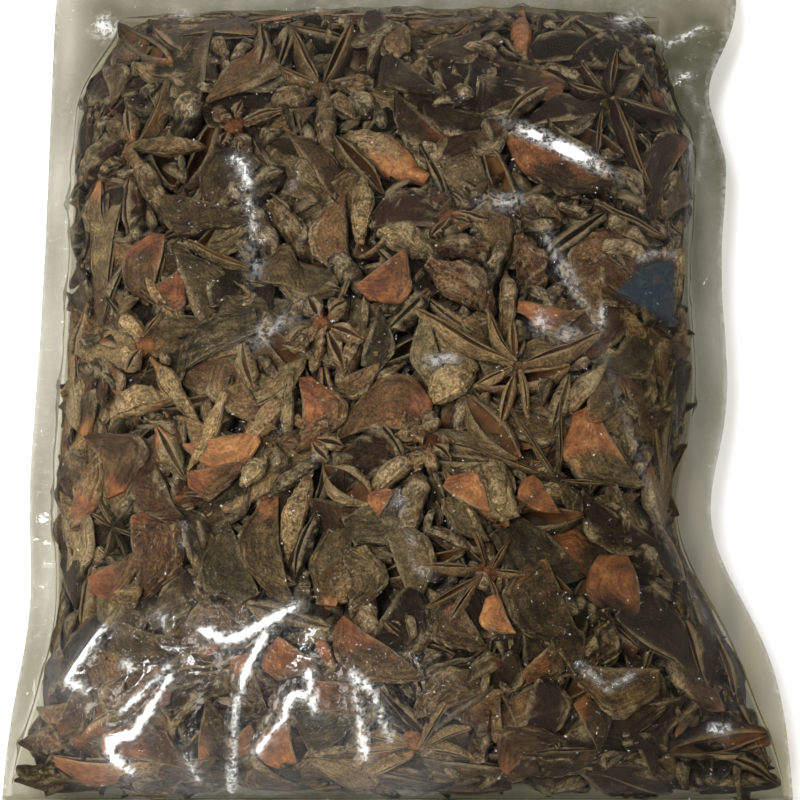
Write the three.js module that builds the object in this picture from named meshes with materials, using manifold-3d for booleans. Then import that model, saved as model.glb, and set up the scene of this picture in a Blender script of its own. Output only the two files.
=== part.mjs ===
// A clear sealed bag of star anise, lying flat. Millimetres, +Z up, +Y towards the sealed top of the bag.
// The origin is on the surface that the bag lies on, under the middle of its bounding box.
//
// The bag and what fills it are one solid. Its skin is the film drawn over the heap: a pillow with a thin
// flange of doubled film all round, and the star anise that presses against the film stands out of it.
import * as THREE from 'three';
import { mergeVertices } from 'three/addons/utils/BufferGeometryUtils.js';
import Module from 'manifold-3d';

const wasm = await Module();
wasm.setup();

// ---- driving dimensions ----

const bag = {
  width: 144, // flat film, side to side
  length: 191, // end seal to end seal
  flange: 1.2, // the doubled film where nothing lies in it
  columns: 20, // grid cells across and along
  rows: 26,
};

// How far a side edge is drawn in where the filling gathers the film: where, how deep, how long a stretch.
const leftPulls = [
  { at: 0, depth: 1.6, reach: 55 },
  { at: -56, depth: 2.4, reach: 18 },
];
const rightPulls = [
  { at: 54, depth: 5.5, reach: 12 },
  { at: 8, depth: 7.5, reach: 42 },
  { at: -40, depth: 10, reach: 21 },
];

// The heap of pods inside the film.
const heap = {
  top: 71, // its ends along Y
  bottom: -91,
  leftMargin: 5, // empty film beside it
  rightMargin: 6.5,
  cornerMargin: 1.5, // beside the full bottom corners
  cornerReach: 16,
  shoulder: 9, // extra empty film beside the top corners
  shoulderReach: 13,
  crown: 33, // height of its flat top at the middle
  crownRise: 2.5, // it stands this much higher at the bottom end and lower at the top end
  seam: 11, // height at which the upper and lower film meet round it
  belly: 2.5, // how far the underside is pressed flat
};

const finTipHeight = 3; // the empty top of the bag droops nearly to the table
const bottomTipHeight = 6;

// Whole stars under the film: centre, length of the longest arm, turn in degrees, number of arms.
const stars = [
  { x: -16, y: 50, reach: 15, turn: 10, arms: 8 },
  { x: -51, y: 32, reach: 14, turn: 40, arms: 7 },
  { x: 40, y: 47, reach: 18, turn: 15, arms: 8 },
  { x: -15, y: 5, reach: 15, turn: 30, arms: 8 },
  { x: 21, y: -1, reach: 20, turn: 20, arms: 7 },
  { x: 30, y: -25, reach: 20, turn: 5, arms: 8 },
  { x: 15, y: -42, reach: 15, turn: 22, arms: 8 },
  { x: 2, y: -78, reach: 17, turn: 18, arms: 8 },
  { x: -50, y: -38, reach: 12, turn: 0, arms: 8 },
];

// Single follicles lying on their sides, scattered over the rest by a seeded rule.
const scatter = {
  count: 96,
  tries: 2600,
  spacing: 10, // least distance between two middles
  inset: 9, // from the heap's outline
  starSpacing: 0.78, // share of a star's reach that stays free of them
  shortest: 14,
  longest: 20,
  seed: 7,
};

// More follicles against the film round the heap's steep sides.
const sideRow = {
  spacing: 17, // from one to the next along the sides and ends
  inset: 0.955, // how near the heap's outline, as a share of its half width or length
};

// Ribs pressed across the empty film where it is sealed.
const seal = {
  ribs: 5,
  pitch: 1.8,
  edge: 2, // from the end of the film to the first rib
  width: 0.8,
  height: 0.5, // above and below the film
};

const colours = { heap: 0x58493a };

// ---- helpers ----

function seededRandom(seed) {
  let state = seed >>> 0;
  return () => {
    state = (Math.imul(state, 1664525) + 1013904223) >>> 0;
    return state / 4294967296;
  };
}

const clamp = (value, low, high) => Math.min(high, Math.max(low, value));
const mix = (from, to, share) => from + (to - from) * share;
const bell = (distance, reach) => Math.exp(-((distance / reach) ** 2));
const pulled = (pulls, y) => pulls.reduce((sum, p) => sum + p.depth * bell(y - p.at, p.reach), 0);

// A closed mesh as a manifold-3d solid.
function toSolid(geometry) {
  const bare = new THREE.BufferGeometry().setAttribute('position', geometry.getAttribute('position'));
  if (geometry.index) bare.setIndex(geometry.index);
  const merged = mergeVertices(bare, 1e-3);
  return new wasm.Manifold(new wasm.Mesh({
    numProp: 3,
    vertProperties: merged.getAttribute('position').array,
    triVerts: new Uint32Array(merged.index.array),
  }));
}

function toGeometry(solid) {
  const mesh = solid.getMesh();
  const positions = new Float32Array(mesh.numVert * 3);
  for (let i = 0; i < mesh.numVert; i += 1) {
    const start = i * mesh.numProp;
    positions.set(mesh.vertProperties.subarray(start, start + 3), i * 3);
  }
  const geometry = new THREE.BufferGeometry();
  geometry.setAttribute('position', new THREE.BufferAttribute(positions, 3));
  geometry.setIndex(new THREE.BufferAttribute(new Uint32Array(mesh.triVerts), 1));
  geometry.computeVertexNormals();
  return geometry;
}

// ---- the bag's own form ----

const filmLeft = (y) => -bag.width / 2 + pulled(leftPulls, y);
const filmRight = (y) => bag.width / 2 - pulled(rightPulls, y);

// The heap's sides: a margin inside the film, less at the full bottom corners, more at the top ones.
function heapSides(y) {
  const corner = bell(y - heap.bottom, heap.cornerReach);
  const shoulder = heap.shoulder * bell(y - heap.top, heap.shoulderReach);
  const left = filmLeft(y) + mix(heap.leftMargin, heap.cornerMargin, corner) + shoulder;
  const right = filmRight(y) - mix(heap.rightMargin, heap.cornerMargin, corner) - shoulder;
  return [left, right];
}

// Place in the heap, from -1 to 1 across and along it; beyond that is empty film.
function heapPlace(x, y) {
  const [left, right] = heapSides(clamp(y, heap.bottom, heap.top));
  const across = (2 * x - left - right) / (right - left);
  const along = (2 * y - heap.top - heap.bottom) / (heap.top - heap.bottom);
  return [across, along];
}

// A flat top with round shoulders: 1 in the middle, 0 at the heap's outline.
function fullness(x, y, squareness) {
  const [across, along] = heapPlace(x, y);
  const side = clamp(1 - Math.abs(across) ** squareness, 0, 1);
  const end = clamp(1 - Math.abs(along) ** (squareness * 1.4), 0, 1);
  return Math.sqrt(side * end);
}

// Height of the seam between the upper and lower film. The empty ends droop.
function seamHeight(y) {
  if (y > heap.top) {
    const share = (y - heap.top) / (bag.length / 2 - heap.top);
    return mix(heap.seam, finTipHeight, share * share * (3 - 2 * share));
  }
  if (y < heap.bottom) {
    return mix(heap.seam, bottomTipHeight, (heap.bottom - y) / (bag.length / 2 + heap.bottom));
  }
  return heap.seam;
}

// Broad lumps where the pods lie thicker or thinner.
const lumps = (x, y) => 0.9 * Math.sin(x / 11 + 1.3) * Math.cos(y / 13)
  + 0.6 * Math.sin((x + y) / 7.5) + 0.5 * Math.cos((x - 1.4 * y) / 9);

function upperHeight(x, y) {
  const full = fullness(x, y, 4.5);
  const crown = heap.crown - heap.crownRise * heapPlace(x, y)[1];
  return seamHeight(y) + bag.flange / 2 + (crown - heap.seam + lumps(x, y)) * full;
}

function lowerHeight(x, y) {
  return seamHeight(y) - bag.flange / 2 - (heap.seam + heap.belly) * fullness(x, y, 7);
}

// Cells are closer together near the edges, where the shoulders turn down.
const eased = (share) => 0.5 + (0.62 * (share - 0.5) - 0.19 * Math.cos(Math.PI * share));

// Upper and lower film as two height grids over one outline, closed by the flange's thin edge.
function pillow() {
  const positions = [];
  const columns = bag.columns + 1;
  const layer = columns * (bag.rows + 1);
  for (const height of [upperHeight, lowerHeight]) {
    for (let row = 0; row <= bag.rows; row += 1) {
      const y = bag.length * (eased(row / bag.rows) - 0.5);
      for (let column = 0; column <= bag.columns; column += 1) {
        const x = mix(filmLeft(y), filmRight(y), eased(column / bag.columns));
        positions.push(x, y, height(x, y));
      }
    }
  }
  const faces = [];
  const quad = (a, b, c, d) => faces.push(a, b, c, a, c, d);
  for (let row = 0; row < bag.rows; row += 1) {
    for (let column = 0; column < bag.columns; column += 1) {
      const a = row * columns + column;
      quad(a, a + 1, a + 1 + columns, a + columns);
      quad(layer + a + columns, layer + a + 1 + columns, layer + a + 1, layer + a);
    }
  }
  const rim = [];
  for (let column = 0; column < bag.columns; column += 1) rim.push(column);
  for (let row = 0; row < bag.rows; row += 1) rim.push(row * columns + bag.columns);
  for (let column = bag.columns; column > 0; column -= 1) rim.push(bag.rows * columns + column);
  for (let row = bag.rows; row > 0; row -= 1) rim.push(row * columns);
  rim.forEach((here, i) => {
    const next = rim[(i + 1) % rim.length];
    quad(layer + here, layer + next, next, here);
  });
  const geometry = new THREE.BufferGeometry();
  geometry.setAttribute('position', new THREE.Float32BufferAttribute(positions, 3));
  geometry.setIndex(faces);
  return toSolid(geometry);
}

// ---- star anise under the film ----

// A whole star, open side up: narrow arms round a hub, each with two lips and the open seam between them.
// Its outline and ridges follow the film, which is drawn down on it.
function starGeometry({ x, y, reach, turn, arms }, random) {
  const rise = 1.8; // the lips above the film
  const root = -2.5; // its underside below the film
  const positions = [];
  const add = (radius, angle, aside, height) => {
    const px = x + radius * Math.cos(angle) - aside * Math.sin(angle);
    const py = y + radius * Math.sin(angle) + aside * Math.cos(angle);
    positions.push(px, py, upperHeight(px, py) + height);
    return positions.length / 3 - 1;
  };
  const middle = add(0, 0, 0, rise);
  const under = add(0, 0, 0, root);
  const faces = [];
  const outline = [];
  const armStep = (2 * Math.PI) / arms;
  const valley = (i) => add(2.6, THREE.MathUtils.degToRad(turn) + (i - 0.5) * armStep, 0, -0.3);
  const firstValley = valley(0);
  let near = firstValley;
  for (let i = 0; i < arms; i += 1) {
    const angle = THREE.MathUtils.degToRad(turn + mix(-6, 6, random())) + i * armStep;
    const length = reach * mix(0.78, 1, random());
    const half = mix(1.9, 2.6, random());
    const belly = length * 0.55; // where the arm is widest
    const far = i === arms - 1 ? firstValley : valley(i + 1);
    const nearSide = add(belly, angle, -half, -0.4);
    const nearLip = add(belly, angle, -0.42 * half, rise);
    const seam = add(belly, angle, 0, rise - 0.9);
    const farLip = add(belly, angle, 0.42 * half, rise);
    const farSide = add(belly, angle, half, -0.4);
    const tip = add(length, angle, 0, 0.3);
    faces.push(middle, near, nearLip, near, nearSide, nearLip, nearSide, tip, nearLip);
    faces.push(nearLip, tip, seam, middle, nearLip, seam, middle, seam, farLip);
    faces.push(seam, tip, farLip, farLip, tip, farSide, farLip, farSide, far, middle, farLip, far);
    outline.push(near, nearSide, tip, farSide);
    near = far;
  }
  const drop = positions.length / 3; // the outline's copies below the film follow the points above
  outline.forEach((i) => positions.push(positions[3 * i], positions[3 * i + 1], positions[3 * i + 2] + root));
  outline.forEach((here, i) => {
    const after = (i + 1) % outline.length;
    faces.push(drop + i, drop + after, outline[after], drop + i, outline[after], here);
    faces.push(under, drop + after, drop + i);
  });
  const geometry = new THREE.BufferGeometry();
  geometry.setAttribute('position', new THREE.Float32BufferAttribute(positions, 3));
  geometry.setIndex(faces);
  return geometry;
}

// The film's outward direction at (x, y).
function filmNormal(x, y) {
  const step = 1.5;
  return new THREE.Vector3(
    (upperHeight(x - step, y) - upperHeight(x + step, y)) / (2 * step),
    (upperHeight(x, y - step) - upperHeight(x, y + step)) / (2 * step),
    1,
  ).normalize();
}

// Moves a point along the film's normal until it is `height` off the film.
function toFilm(point, height) {
  for (let i = 0; i < 5; i += 1) {
    const normal = filmNormal(point.x, point.y);
    const off = (point.z - upperHeight(point.x, point.y)) * normal.z;
    point.addScaledVector(normal, height - off);
  }
  return point.toArray();
}

// A follicle on its side: a half moon with a straight seam, a bulging keel, a blunt base and a beaked tip.
// Its points are shares of its length and depth, drawn down on the film round (x, y).
function follicleGeometry({ x, y, turn, length, depth, rise }) {
  const outline = [
    [-0.5, -0.45],
    [0, -0.5],
    [0.5, -0.38],
    [0.28, 0.12],
    [-0.02, 0.5],
    [-0.38, 0.34],
    [-0.5, 0.05],
  ];
  const ridge = [
    [-0.25, -0.05],
    [0.15, -0.12],
  ];
  const sunk = -0.4; // its outline, so that it meets the film
  const root = -3; // its underside
  const lean = new THREE.Quaternion().setFromUnitVectors(new THREE.Vector3(0, 0, 1), filmNormal(x, y));
  const spin = new THREE.Quaternion().setFromAxisAngle(new THREE.Vector3(0, 0, 1), turn);
  const place = new THREE.Matrix4().compose(
    new THREE.Vector3(x, y, upperHeight(x, y)),
    lean.multiply(spin),
    new THREE.Vector3(1, 1, 1),
  );
  const onFilm = ([along, aside], height) => toFilm(
    new THREE.Vector3(along * length, aside * depth, 0).applyMatrix4(place),
    height,
  );
  const points = [
    ...outline.map((share) => onFilm(share, sunk)),
    ...ridge.map((share) => onFilm(share, rise)),
    onFilm([0, 0], root),
  ];
  const [inner, outer, under] = [7, 8, 9]; // the ridge's two ends and the point below the film
  const faces = [6, 0, inner, 0, 1, inner, 1, outer, inner, 1, 2, outer, 2, 3, outer, 3, 4, outer];
  faces.push(4, inner, outer, 4, 5, inner, 5, 6, inner);
  outline.forEach((point, i) => faces.push((i + 1) % outline.length, i, under));
  const geometry = new THREE.BufferGeometry();
  geometry.setAttribute('position', new THREE.Float32BufferAttribute(points.flat(), 3));
  geometry.setIndex(faces);
  return geometry;
}

// Random places on the heap, kept apart from each other and from the stars.
function scatteredPlaces(random) {
  const places = [];
  for (let i = 0; i < scatter.tries && places.length < scatter.count; i += 1) {
    const y = mix(heap.bottom + scatter.inset, heap.top - scatter.inset, random());
    const [left, right] = heapSides(y);
    const x = mix(left + scatter.inset, right - scatter.inset, random());
    const besideStars = stars.every((s) => Math.hypot(x - s.x, y - s.y) > s.reach * scatter.starSpacing);
    const apart = places.every((p) => Math.hypot(x - p.x, y - p.y) > scatter.spacing);
    if (besideStars && apart) places.push({ x, y });
  }
  return places;
}

// Evenly spaced places round the heap's steep sides, each a little higher or lower than the last.
function sidePlaces() {
  const places = [];
  const middle = (heap.top + heap.bottom) / 2;
  const half = (heap.top - heap.bottom) / 2;
  const rows = Math.floor((2 * half) / sideRow.spacing);
  for (let i = 0; i < rows; i += 1) {
    const y = middle + half * mix(-0.86, 0.86, i / (rows - 1));
    const [left, right] = heapSides(y);
    const reach = ((right - left) / 2) * (sideRow.inset - 0.03 * (i % 2));
    places.push({ x: (left + right) / 2 - reach, y }, { x: (left + right) / 2 + reach, y });
  }
  const columns = Math.floor(bag.width / sideRow.spacing);
  for (let i = 0; i < columns; i += 1) {
    for (const end of [-1, 1]) {
      const y = middle + end * half * (sideRow.inset + 0.015 * (i % 2));
      const [left, right] = heapSides(y);
      places.push({ x: mix(left, right, mix(0.12, 0.88, i / (columns - 1))), y });
    }
  }
  return places;
}

function follicleSolids(places, random) {
  return places.map(({ x, y }) => {
    const length = mix(scatter.shortest, scatter.longest, random());
    const depth = length * mix(0.42, 0.55, random());
    const rise = mix(1.2, 2.2, random());
    const turn = 2 * Math.PI * random();
    return toSolid(follicleGeometry({ x, y, turn, length, depth, rise }));
  });
}

// Ribs of the two end seals: bars that stand out of the film above and below.
function sealRibs() {
  const ribs = [];
  for (const end of [-1, 1]) {
    const count = end > 0 ? seal.ribs : 1;
    for (let i = 0; i < count; i += 1) {
      const y = end * (bag.length / 2 - seal.edge - i * seal.pitch);
      const width = filmRight(y) - filmLeft(y) - 3;
      const rib = new THREE.BoxGeometry(width, seal.width, bag.flange + 2 * seal.height);
      rib.translate((filmLeft(y) + filmRight(y)) / 2, y, seamHeight(y));
      ribs.push(toSolid(rib));
    }
  }
  return ribs;
}

// ---- the part ----

function bagSolid() {
  const random = seededRandom(scatter.seed);
  const wholeStars = stars.map((star) => toSolid(starGeometry(star, random)));
  const follicles = follicleSolids([...scatteredPlaces(random), ...sidePlaces()], random);
  const raised = [...wholeStars, ...follicles, ...sealRibs()];
  const filled = raised.reduce((whole, piece) => whole.add(piece), pillow());
  const table = new THREE.BoxGeometry(2 * bag.width, 2 * bag.length, 40).translate(0, 0, -20);
  const lying = filled.subtract(toSolid(table));
  // Only the outer shell is kept, so that a hollow sealed between two pods is filled.
  return lying.decompose().reduce((largest, shell) => (shell.volume() > largest.volume() ? shell : largest));
}

const material = new THREE.MeshStandardMaterial({ color: colours.heap, roughness: 0.35, metalness: 0 });
const filledBag = new THREE.Mesh(toGeometry(bagSolid()), material);
filledBag.name = 'filled_bag';

const part = new THREE.Group();
part.name = 'clear bag of star anise';
part.add(filledBag);

export default part;
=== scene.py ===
import math
import bpy
import numpy as np
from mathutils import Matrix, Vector


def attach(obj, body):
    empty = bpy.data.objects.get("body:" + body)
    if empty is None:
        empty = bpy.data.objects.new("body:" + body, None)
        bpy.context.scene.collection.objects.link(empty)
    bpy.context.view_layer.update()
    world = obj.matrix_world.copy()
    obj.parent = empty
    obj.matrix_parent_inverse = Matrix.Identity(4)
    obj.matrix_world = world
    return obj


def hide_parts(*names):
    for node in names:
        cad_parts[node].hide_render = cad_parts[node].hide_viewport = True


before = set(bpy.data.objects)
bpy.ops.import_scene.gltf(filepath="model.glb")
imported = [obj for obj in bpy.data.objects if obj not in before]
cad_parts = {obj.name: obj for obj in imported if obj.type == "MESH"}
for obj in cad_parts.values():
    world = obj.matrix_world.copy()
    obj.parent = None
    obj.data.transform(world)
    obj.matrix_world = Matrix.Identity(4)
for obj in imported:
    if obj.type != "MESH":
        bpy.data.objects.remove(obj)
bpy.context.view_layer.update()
print("frame loaded")

# A clear sealed bag of star anise, lying flat. Lengths are millimetres until a mesh is made.
mm = 0.001

# The bag's form follows the same rules as the solid that it replaces.
bag = {"width": 144.0, "length": 191.0, "halfGap": 0.15, "finTip": 3.0, "bottomTip": 6.0}
leftPulls = [(0.0, 1.6, 55.0), (-56.0, 2.4, 18.0)]  # where, how deep, how long a stretch
rightPulls = [(54.0, 5.5, 12.0), (8.0, 7.5, 42.0), (-40.0, 10.0, 21.0)]
heap = {
    "top": 71.0, "bottom": -91.0,  # its ends
    "leftMargin": 5.0, "rightMargin": 6.5, "cornerMargin": 1.5, "cornerReach": 16.0,
    "shoulder": 9.0, "shoulderReach": 13.0,
    "crown": 33.0, "crownRise": 2.5, "seam": 11.0, "belly": 2.5,
    "roundAbove": 4.5, "roundBelow": 7.0, "endRound": 1.4,
}


def mix(low, high, share):
    return low + (high - low) * share


def smooth(low, high, value):
    share = np.clip((value - low) / (high - low), 0.0, 1.0)
    return share * share * (3.0 - 2.0 * share)


def bell(distance, reach):
    return np.exp(-((distance / reach) ** 2))


def pulled(pulls, y):
    return sum(depth * bell(y - at, reach) for at, depth, reach in pulls)


def filmLeft(y):
    return -bag["width"] / 2 + pulled(leftPulls, y)


def filmRight(y):
    return bag["width"] / 2 - pulled(rightPulls, y)


# the heap's sides: a margin inside the film, less at the full bottom corners, more at the shoulders
def heapSides(y):
    corner = bell(y - heap["bottom"], heap["cornerReach"])
    shoulder = heap["shoulder"] * bell(y - heap["top"], heap["shoulderReach"])
    left = filmLeft(y) + mix(heap["leftMargin"], heap["cornerMargin"], corner) + shoulder
    right = filmRight(y) - mix(heap["rightMargin"], heap["cornerMargin"], corner) - shoulder
    return left, right


# place in the heap, -1 to 1 across and along it
def heapPlace(x, y):
    left, right = heapSides(np.clip(y, heap["bottom"], heap["top"]))
    across = (2 * x - left - right) / (right - left)
    along = (2 * y - heap["top"] - heap["bottom"]) / (heap["top"] - heap["bottom"])
    return across, along


# product of one minus a power across and one minus a power along: 1 in the middle, 0 at the outline
def heapShare(across, along, roundness):
    side = np.clip(1 - np.abs(across) ** roundness, 0, 1)
    end = np.clip(1 - np.abs(along) ** (roundness * heap["endRound"]), 0, 1)
    return side * end


def seamHeight(y):
    top = smooth(heap["top"], bag["length"] / 2, y)
    bottom = np.clip((heap["bottom"] - y) / (bag["length"] / 2 + heap["bottom"]), 0, 1)
    return heap["seam"] + (bag["finTip"] - heap["seam"]) * top + (bag["bottomTip"] - heap["seam"]) * bottom


def lumps(x, y):
    return (0.9 * np.sin(x / 11 + 1.3) * np.cos(y / 13) + 0.6 * np.sin((x + y) / 7.5)
            + 0.5 * np.cos((x - 1.4 * y) / 9))


def upperRise(x, y):
    return heap["crown"] - heap["crownRise"] * heapPlace(x, y)[1] - heap["seam"] + lumps(x, y)


# a first-order measure of how far inside the film a point is: the rule's value over the length of its slope
def roomInside(points):
    def rule(x, y, z):
        across, along = heapPlace(x, y)
        above = z >= heap["seam"]
        roundness = np.where(above, heap["roundAbove"], heap["roundBelow"])
        reach = np.where(above, upperRise(x, y), heap["seam"] + heap["belly"])
        side = 1 - np.abs(across) ** roundness
        end = 1 - np.abs(along) ** (roundness * heap["endRound"])
        inside = np.where((side > 0) & (end > 0), side * end, -np.abs(np.minimum(side, end)))
        return inside - ((z - heap["seam"]) / reach) ** 2

    x, y, z = points[..., 0], points[..., 1], points[..., 2]
    step = 0.3
    here = rule(x, y, z)
    steps = [rule(x + step, y, z), rule(x, y + step, z), rule(x, y, z + step)]
    slope = np.linalg.norm(np.stack([beside - here for beside in steps], -1), axis=-1)
    slope = np.maximum(slope / step, 0.012)
    return np.minimum(here / slope, z)


def seeded(name):
    return np.random.default_rng(sum(ord(letter) * (i + 7) for i, letter in enumerate(name)))


# smooth noise from 0 to 1: random values at the corners of a cubic lattice, blended between them
def noise(points, cell, seed=0):
    spot = np.asarray(points) / cell
    corner = np.floor(spot).astype(np.int64)
    part = spot - corner
    part = part * part * (3 - 2 * part)
    total = 0.0
    for dx in (0, 1):
        for dy in (0, 1):
            for dz in (0, 1):
                key = ((corner[..., 0] + dx) * 73856093) ^ ((corner[..., 1] + dy) * 19349663)
                key = key ^ ((corner[..., 2] + dz) * 83492791) ^ (seed * 2654435761)
                key = ((key ^ (key >> 13)) * 1274126177) & 0x7FFFFFFF
                value = ((key ^ (key >> 16)) & 0xFFFF) / 65535.0
                wx = part[..., 0] if dx else 1 - part[..., 0]
                wy = part[..., 1] if dy else 1 - part[..., 1]
                wz = part[..., 2] if dz else 1 - part[..., 2]
                total = total + value * wx * wy * wz
    return total


# one at the crests of a noise, falling away on both sides
def ridged(points, cell, seed):
    return 1 - np.abs(2 * noise(points, cell, seed) - 1)


# a mesh from whole arrays of points and quads, with values kept at its points, smooth all over
def makePiece(name, points, quads, material, looks=None, uv=None):
    mesh = bpy.data.meshes.new(name)
    points = np.asarray(points, np.float32).reshape(-1, 3) * mm
    quads = np.asarray(quads, np.int32)
    mesh.vertices.add(len(points))
    mesh.vertices.foreach_set("co", points.ravel())
    mesh.loops.add(quads.size)
    mesh.loops.foreach_set("vertex_index", quads.ravel())
    mesh.polygons.add(len(quads))
    mesh.polygons.foreach_set("loop_start", np.arange(0, quads.size, 4, dtype=np.int32))
    mesh.polygons.foreach_set("loop_total", np.full(len(quads), 4, np.int32))
    mesh.update(calc_edges=True)
    mesh.polygons.foreach_set("use_smooth", np.full(len(quads), True))
    for key, values in (looks or {}).items():
        layer = mesh.attributes.new(key, "FLOAT", "POINT")
        layer.data.foreach_set("value", np.asarray(values, np.float32).ravel())
    if uv is not None:
        layer = mesh.uv_layers.new(name="surface")
        layer.data.foreach_set("uv", np.asarray(uv, np.float32).reshape(-1, 2)[quads.ravel()].ravel())
    mesh.validate()
    mesh.materials.append(material)
    piece = bpy.data.objects.new(name, mesh)
    bpy.context.scene.collection.objects.link(piece)
    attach(piece, "root")
    print(f"{name}: {len(quads) * 2} triangles")
    return piece


# quads of a grid of rings, closed round each ring, repeated for every form
def ringQuads(forms, rings, around):
    ring = np.arange(rings - 1)[:, None] * around
    here = np.arange(around)[None, :]
    after = (here + 1) % around
    one = np.stack([ring + here, ring + after, ring + around + after, ring + around + here], -1)
    return (one.reshape(1, -1, 4) + (np.arange(forms) * rings * around)[:, None, None]).reshape(-1, 4)


# What a pod measures, as low and high values: here one that lies closed, keel or seam up, and is wrinkled.
# Depth and thickness are shares of the length, and the base is the hub end's share of the depth. Past its two
# knees a pod tapers to its tip.
closedPod = {
    "length": (12.0, 18.5), "depth": (0.34, 0.46), "thickness": (0.22, 0.34), "gape": (0.1, 0.6),
    "open": (0.10, 0.25), "sink": (0.0, 0.25), "kneeA": (0.3, 0.45), "kneeB": (0.55, 0.75),
    "kneeDepth": (0.7, 1.0), "base": (0.35, 0.7), "angular": (0.0, 0.6), "pinch": (0.0, 0.3),
    "hook": (0.0, 0.25), "bend": (-0.22, 0.22), "edge": (0.7, 1.1), "wobble": (0.7, 1.1),
    "wrinkle": (0.35, 0.8), "across": (0.3, 0.9), "orangeReach": (-0.5, 0.25), "warmth": (0.0, 0.9),
    "tone": (0.1, 1.0),
}
podKinds = {
    "keel": closedPod,
    "broad": closedPod | {  # a closed half-moon, on its flank
        "length": (14.5, 20.0), "depth": (0.42, 0.62), "thickness": (0.15, 0.23), "gape": (0.1, 0.5),
        "sink": (0.1, 0.5), "kneeA": (0.18, 0.42), "kneeB": (0.52, 0.80), "kneeDepth": (0.65, 0.95),
        "base": (0.15, 0.65), "angular": (0.2, 1.0), "pinch": (0.2, 0.5), "hook": (0.0, 0.3),
        "bend": (-0.1, 0.12), "edge": (0.45, 0.75), "wobble": (0.3, 0.7), "wrinkle": (0.15, 0.5),
        "across": (0.0, 0.3), "orangeReach": (-1.1, 0.4), "warmth": (0.0, 1.0), "tone": (0.0, 1.0)},
    "open": closedPod | {  # split along the seam, seam up
        "length": (14.5, 19.5), "thickness": (0.18, 0.26), "gape": (1.0, 3.6), "open": (0.7, 0.92),
        "sink": (0.0, 0.2), "base": (0.3, 0.5), "pinch": (-0.2, 0.1), "bend": (-0.1, 0.12),
        "edge": (0.8, 1.1), "wobble": (0.3, 0.7), "wrinkle": (0.2, 0.5), "across": (0.1, 0.5),
        "orangeReach": (-0.3, 0.3), "warmth": (0.2, 0.9), "tone": (0.15, 1.0)},
    "arm": closedPod | {  # one arm of a whole star, seam up
        "length": (13.0, 18.0), "depth": (0.34, 0.42), "thickness": (0.15, 0.21), "gape": (0.1, 0.7),
        "open": (0.3, 0.6), "sink": (0.0, 0.3), "kneeA": (0.3, 0.5), "kneeB": (0.6, 0.75), "base": (0.4, 0.7),
        "angular": (0.0, 0.5), "pinch": (0.5, 0.8), "hook": (0.0, 0.2), "bend": (-0.05, 0.1),
        "edge": (0.7, 1.0), "wobble": (0.3, 0.7), "wrinkle": (0.15, 0.35), "across": (0.1, 0.4),
        "orangeReach": (-0.1, 0.2), "warmth": (0.3, 0.7), "tone": (0.3, 0.9)},
    "curl": closedPod | {  # one short shrivelled arm of an unripe star, lips up
        "length": (8.0, 12.5), "depth": (0.40, 0.52), "thickness": (0.24, 0.34), "open": (0.2, 0.5),
        "sink": (0.0, 0.2), "kneeA": (0.3, 0.5), "kneeB": (0.6, 0.75), "base": (0.4, 0.6),
        "angular": (0.0, 0.4), "pinch": (0.0, 0.2), "hook": (0.0, 0.3), "bend": (-0.35, -0.1),
        "edge": (0.7, 1.0), "wobble": (0.8, 1.2), "wrinkle": (0.6, 0.95), "across": (0.4, 0.8),
        "orangeReach": (0.0, 0.3), "warmth": (0.5, 1.0), "tone": (0.2, 0.9)},
}


def drawShapes(kind, count, random):
    shapes = {key: mix(*limits, random.random(count)) for key, limits in podKinds[kind].items()}
    shapes["depth"] = shapes["depth"] * shapes["length"]
    shapes["thickness"] = shapes["thickness"] * shapes["length"]
    shapes["place"] = random.random((count, 3)) * 900
    shapes["twist"] = random.normal(0, 0.18, count)
    return shapes


# A follicle's profile at share u of its length: seam line, half depth and half thickness.
# Depth: a sine's bulge with a blunt hub end, mixed with a polygon of three straight stretches, the least of
# a rise, a slope and a fall. Thickness: a wedge from the hub, then a taper.
def follicleProfile(shapes, u):
    s = {key: value.reshape(-1, *([1] * (u.ndim - 1))) for key, value in shapes.items() if value.ndim == 1}
    polygon = 0.0
    for shift in (-0.045, 0.0, 0.045):
        v = np.clip(u + shift, 0, 1)
        rise = s["base"] + (1 - s["base"]) * v / s["kneeA"]
        slope = 1 - (1 - s["kneeDepth"]) * (v - s["kneeA"]) / (s["kneeB"] - s["kneeA"])
        fall = s["kneeDepth"] * (1 - v) / (1 - s["kneeB"])
        polygon = polygon + np.minimum(np.minimum(rise, slope), fall) / 3
    skewed = u ** (math.log(0.5) / np.log((s["kneeA"] + s["kneeB"]) / 2))
    blunt = s["base"] * (1 - u) ** 3
    curve = blunt + (1 - blunt) * np.sin(np.pi * np.clip(skewed, 0, 1)) ** 0.8
    deep = s["depth"] * (mix(curve, polygon, s["angular"]) * 0.96 + 0.04)
    wedge = (0.3 + 0.7 * smooth(0.0, 0.42, u)) * (1 - 0.5 * smooth(0.55, 1.0, u))
    thick = s["thickness"] * wedge * np.sqrt(np.clip(1.03 - u ** 8, 0, 1))
    seam = s["depth"] * (0.05 * np.sin(np.pi * u) + s["hook"] * u ** 4)
    seam = seam + s["bend"] * s["length"] * (4 * (u - 0.5) ** 2 - 1) * 0.5
    return seam, deep / 2, thick / 2


# how far each point stands out from the mean of its neighbours, as a share of the distance to them
def standOut(points):
    before, after = np.roll(points, 1, axis=2), np.roll(points, -1, axis=2)
    inward = np.concatenate([points[:, :1], points[:, :-1]], 1)
    onward = np.concatenate([points[:, 1:], points[:, -1:]], 1)
    away = points - points.mean(2, keepdims=True)
    away = away / np.maximum(np.linalg.norm(away, axis=-1, keepdims=True), 0.05)
    apart = (np.linalg.norm(points - before, axis=-1) + np.linalg.norm(points - inward, axis=-1)) / 2
    rise = ((points - (before + after + inward + onward) / 4) * away).sum(-1)
    return rise / np.maximum(apart, 0.15)


lipAngle = 0.16  # from the seam to a lip


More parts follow.
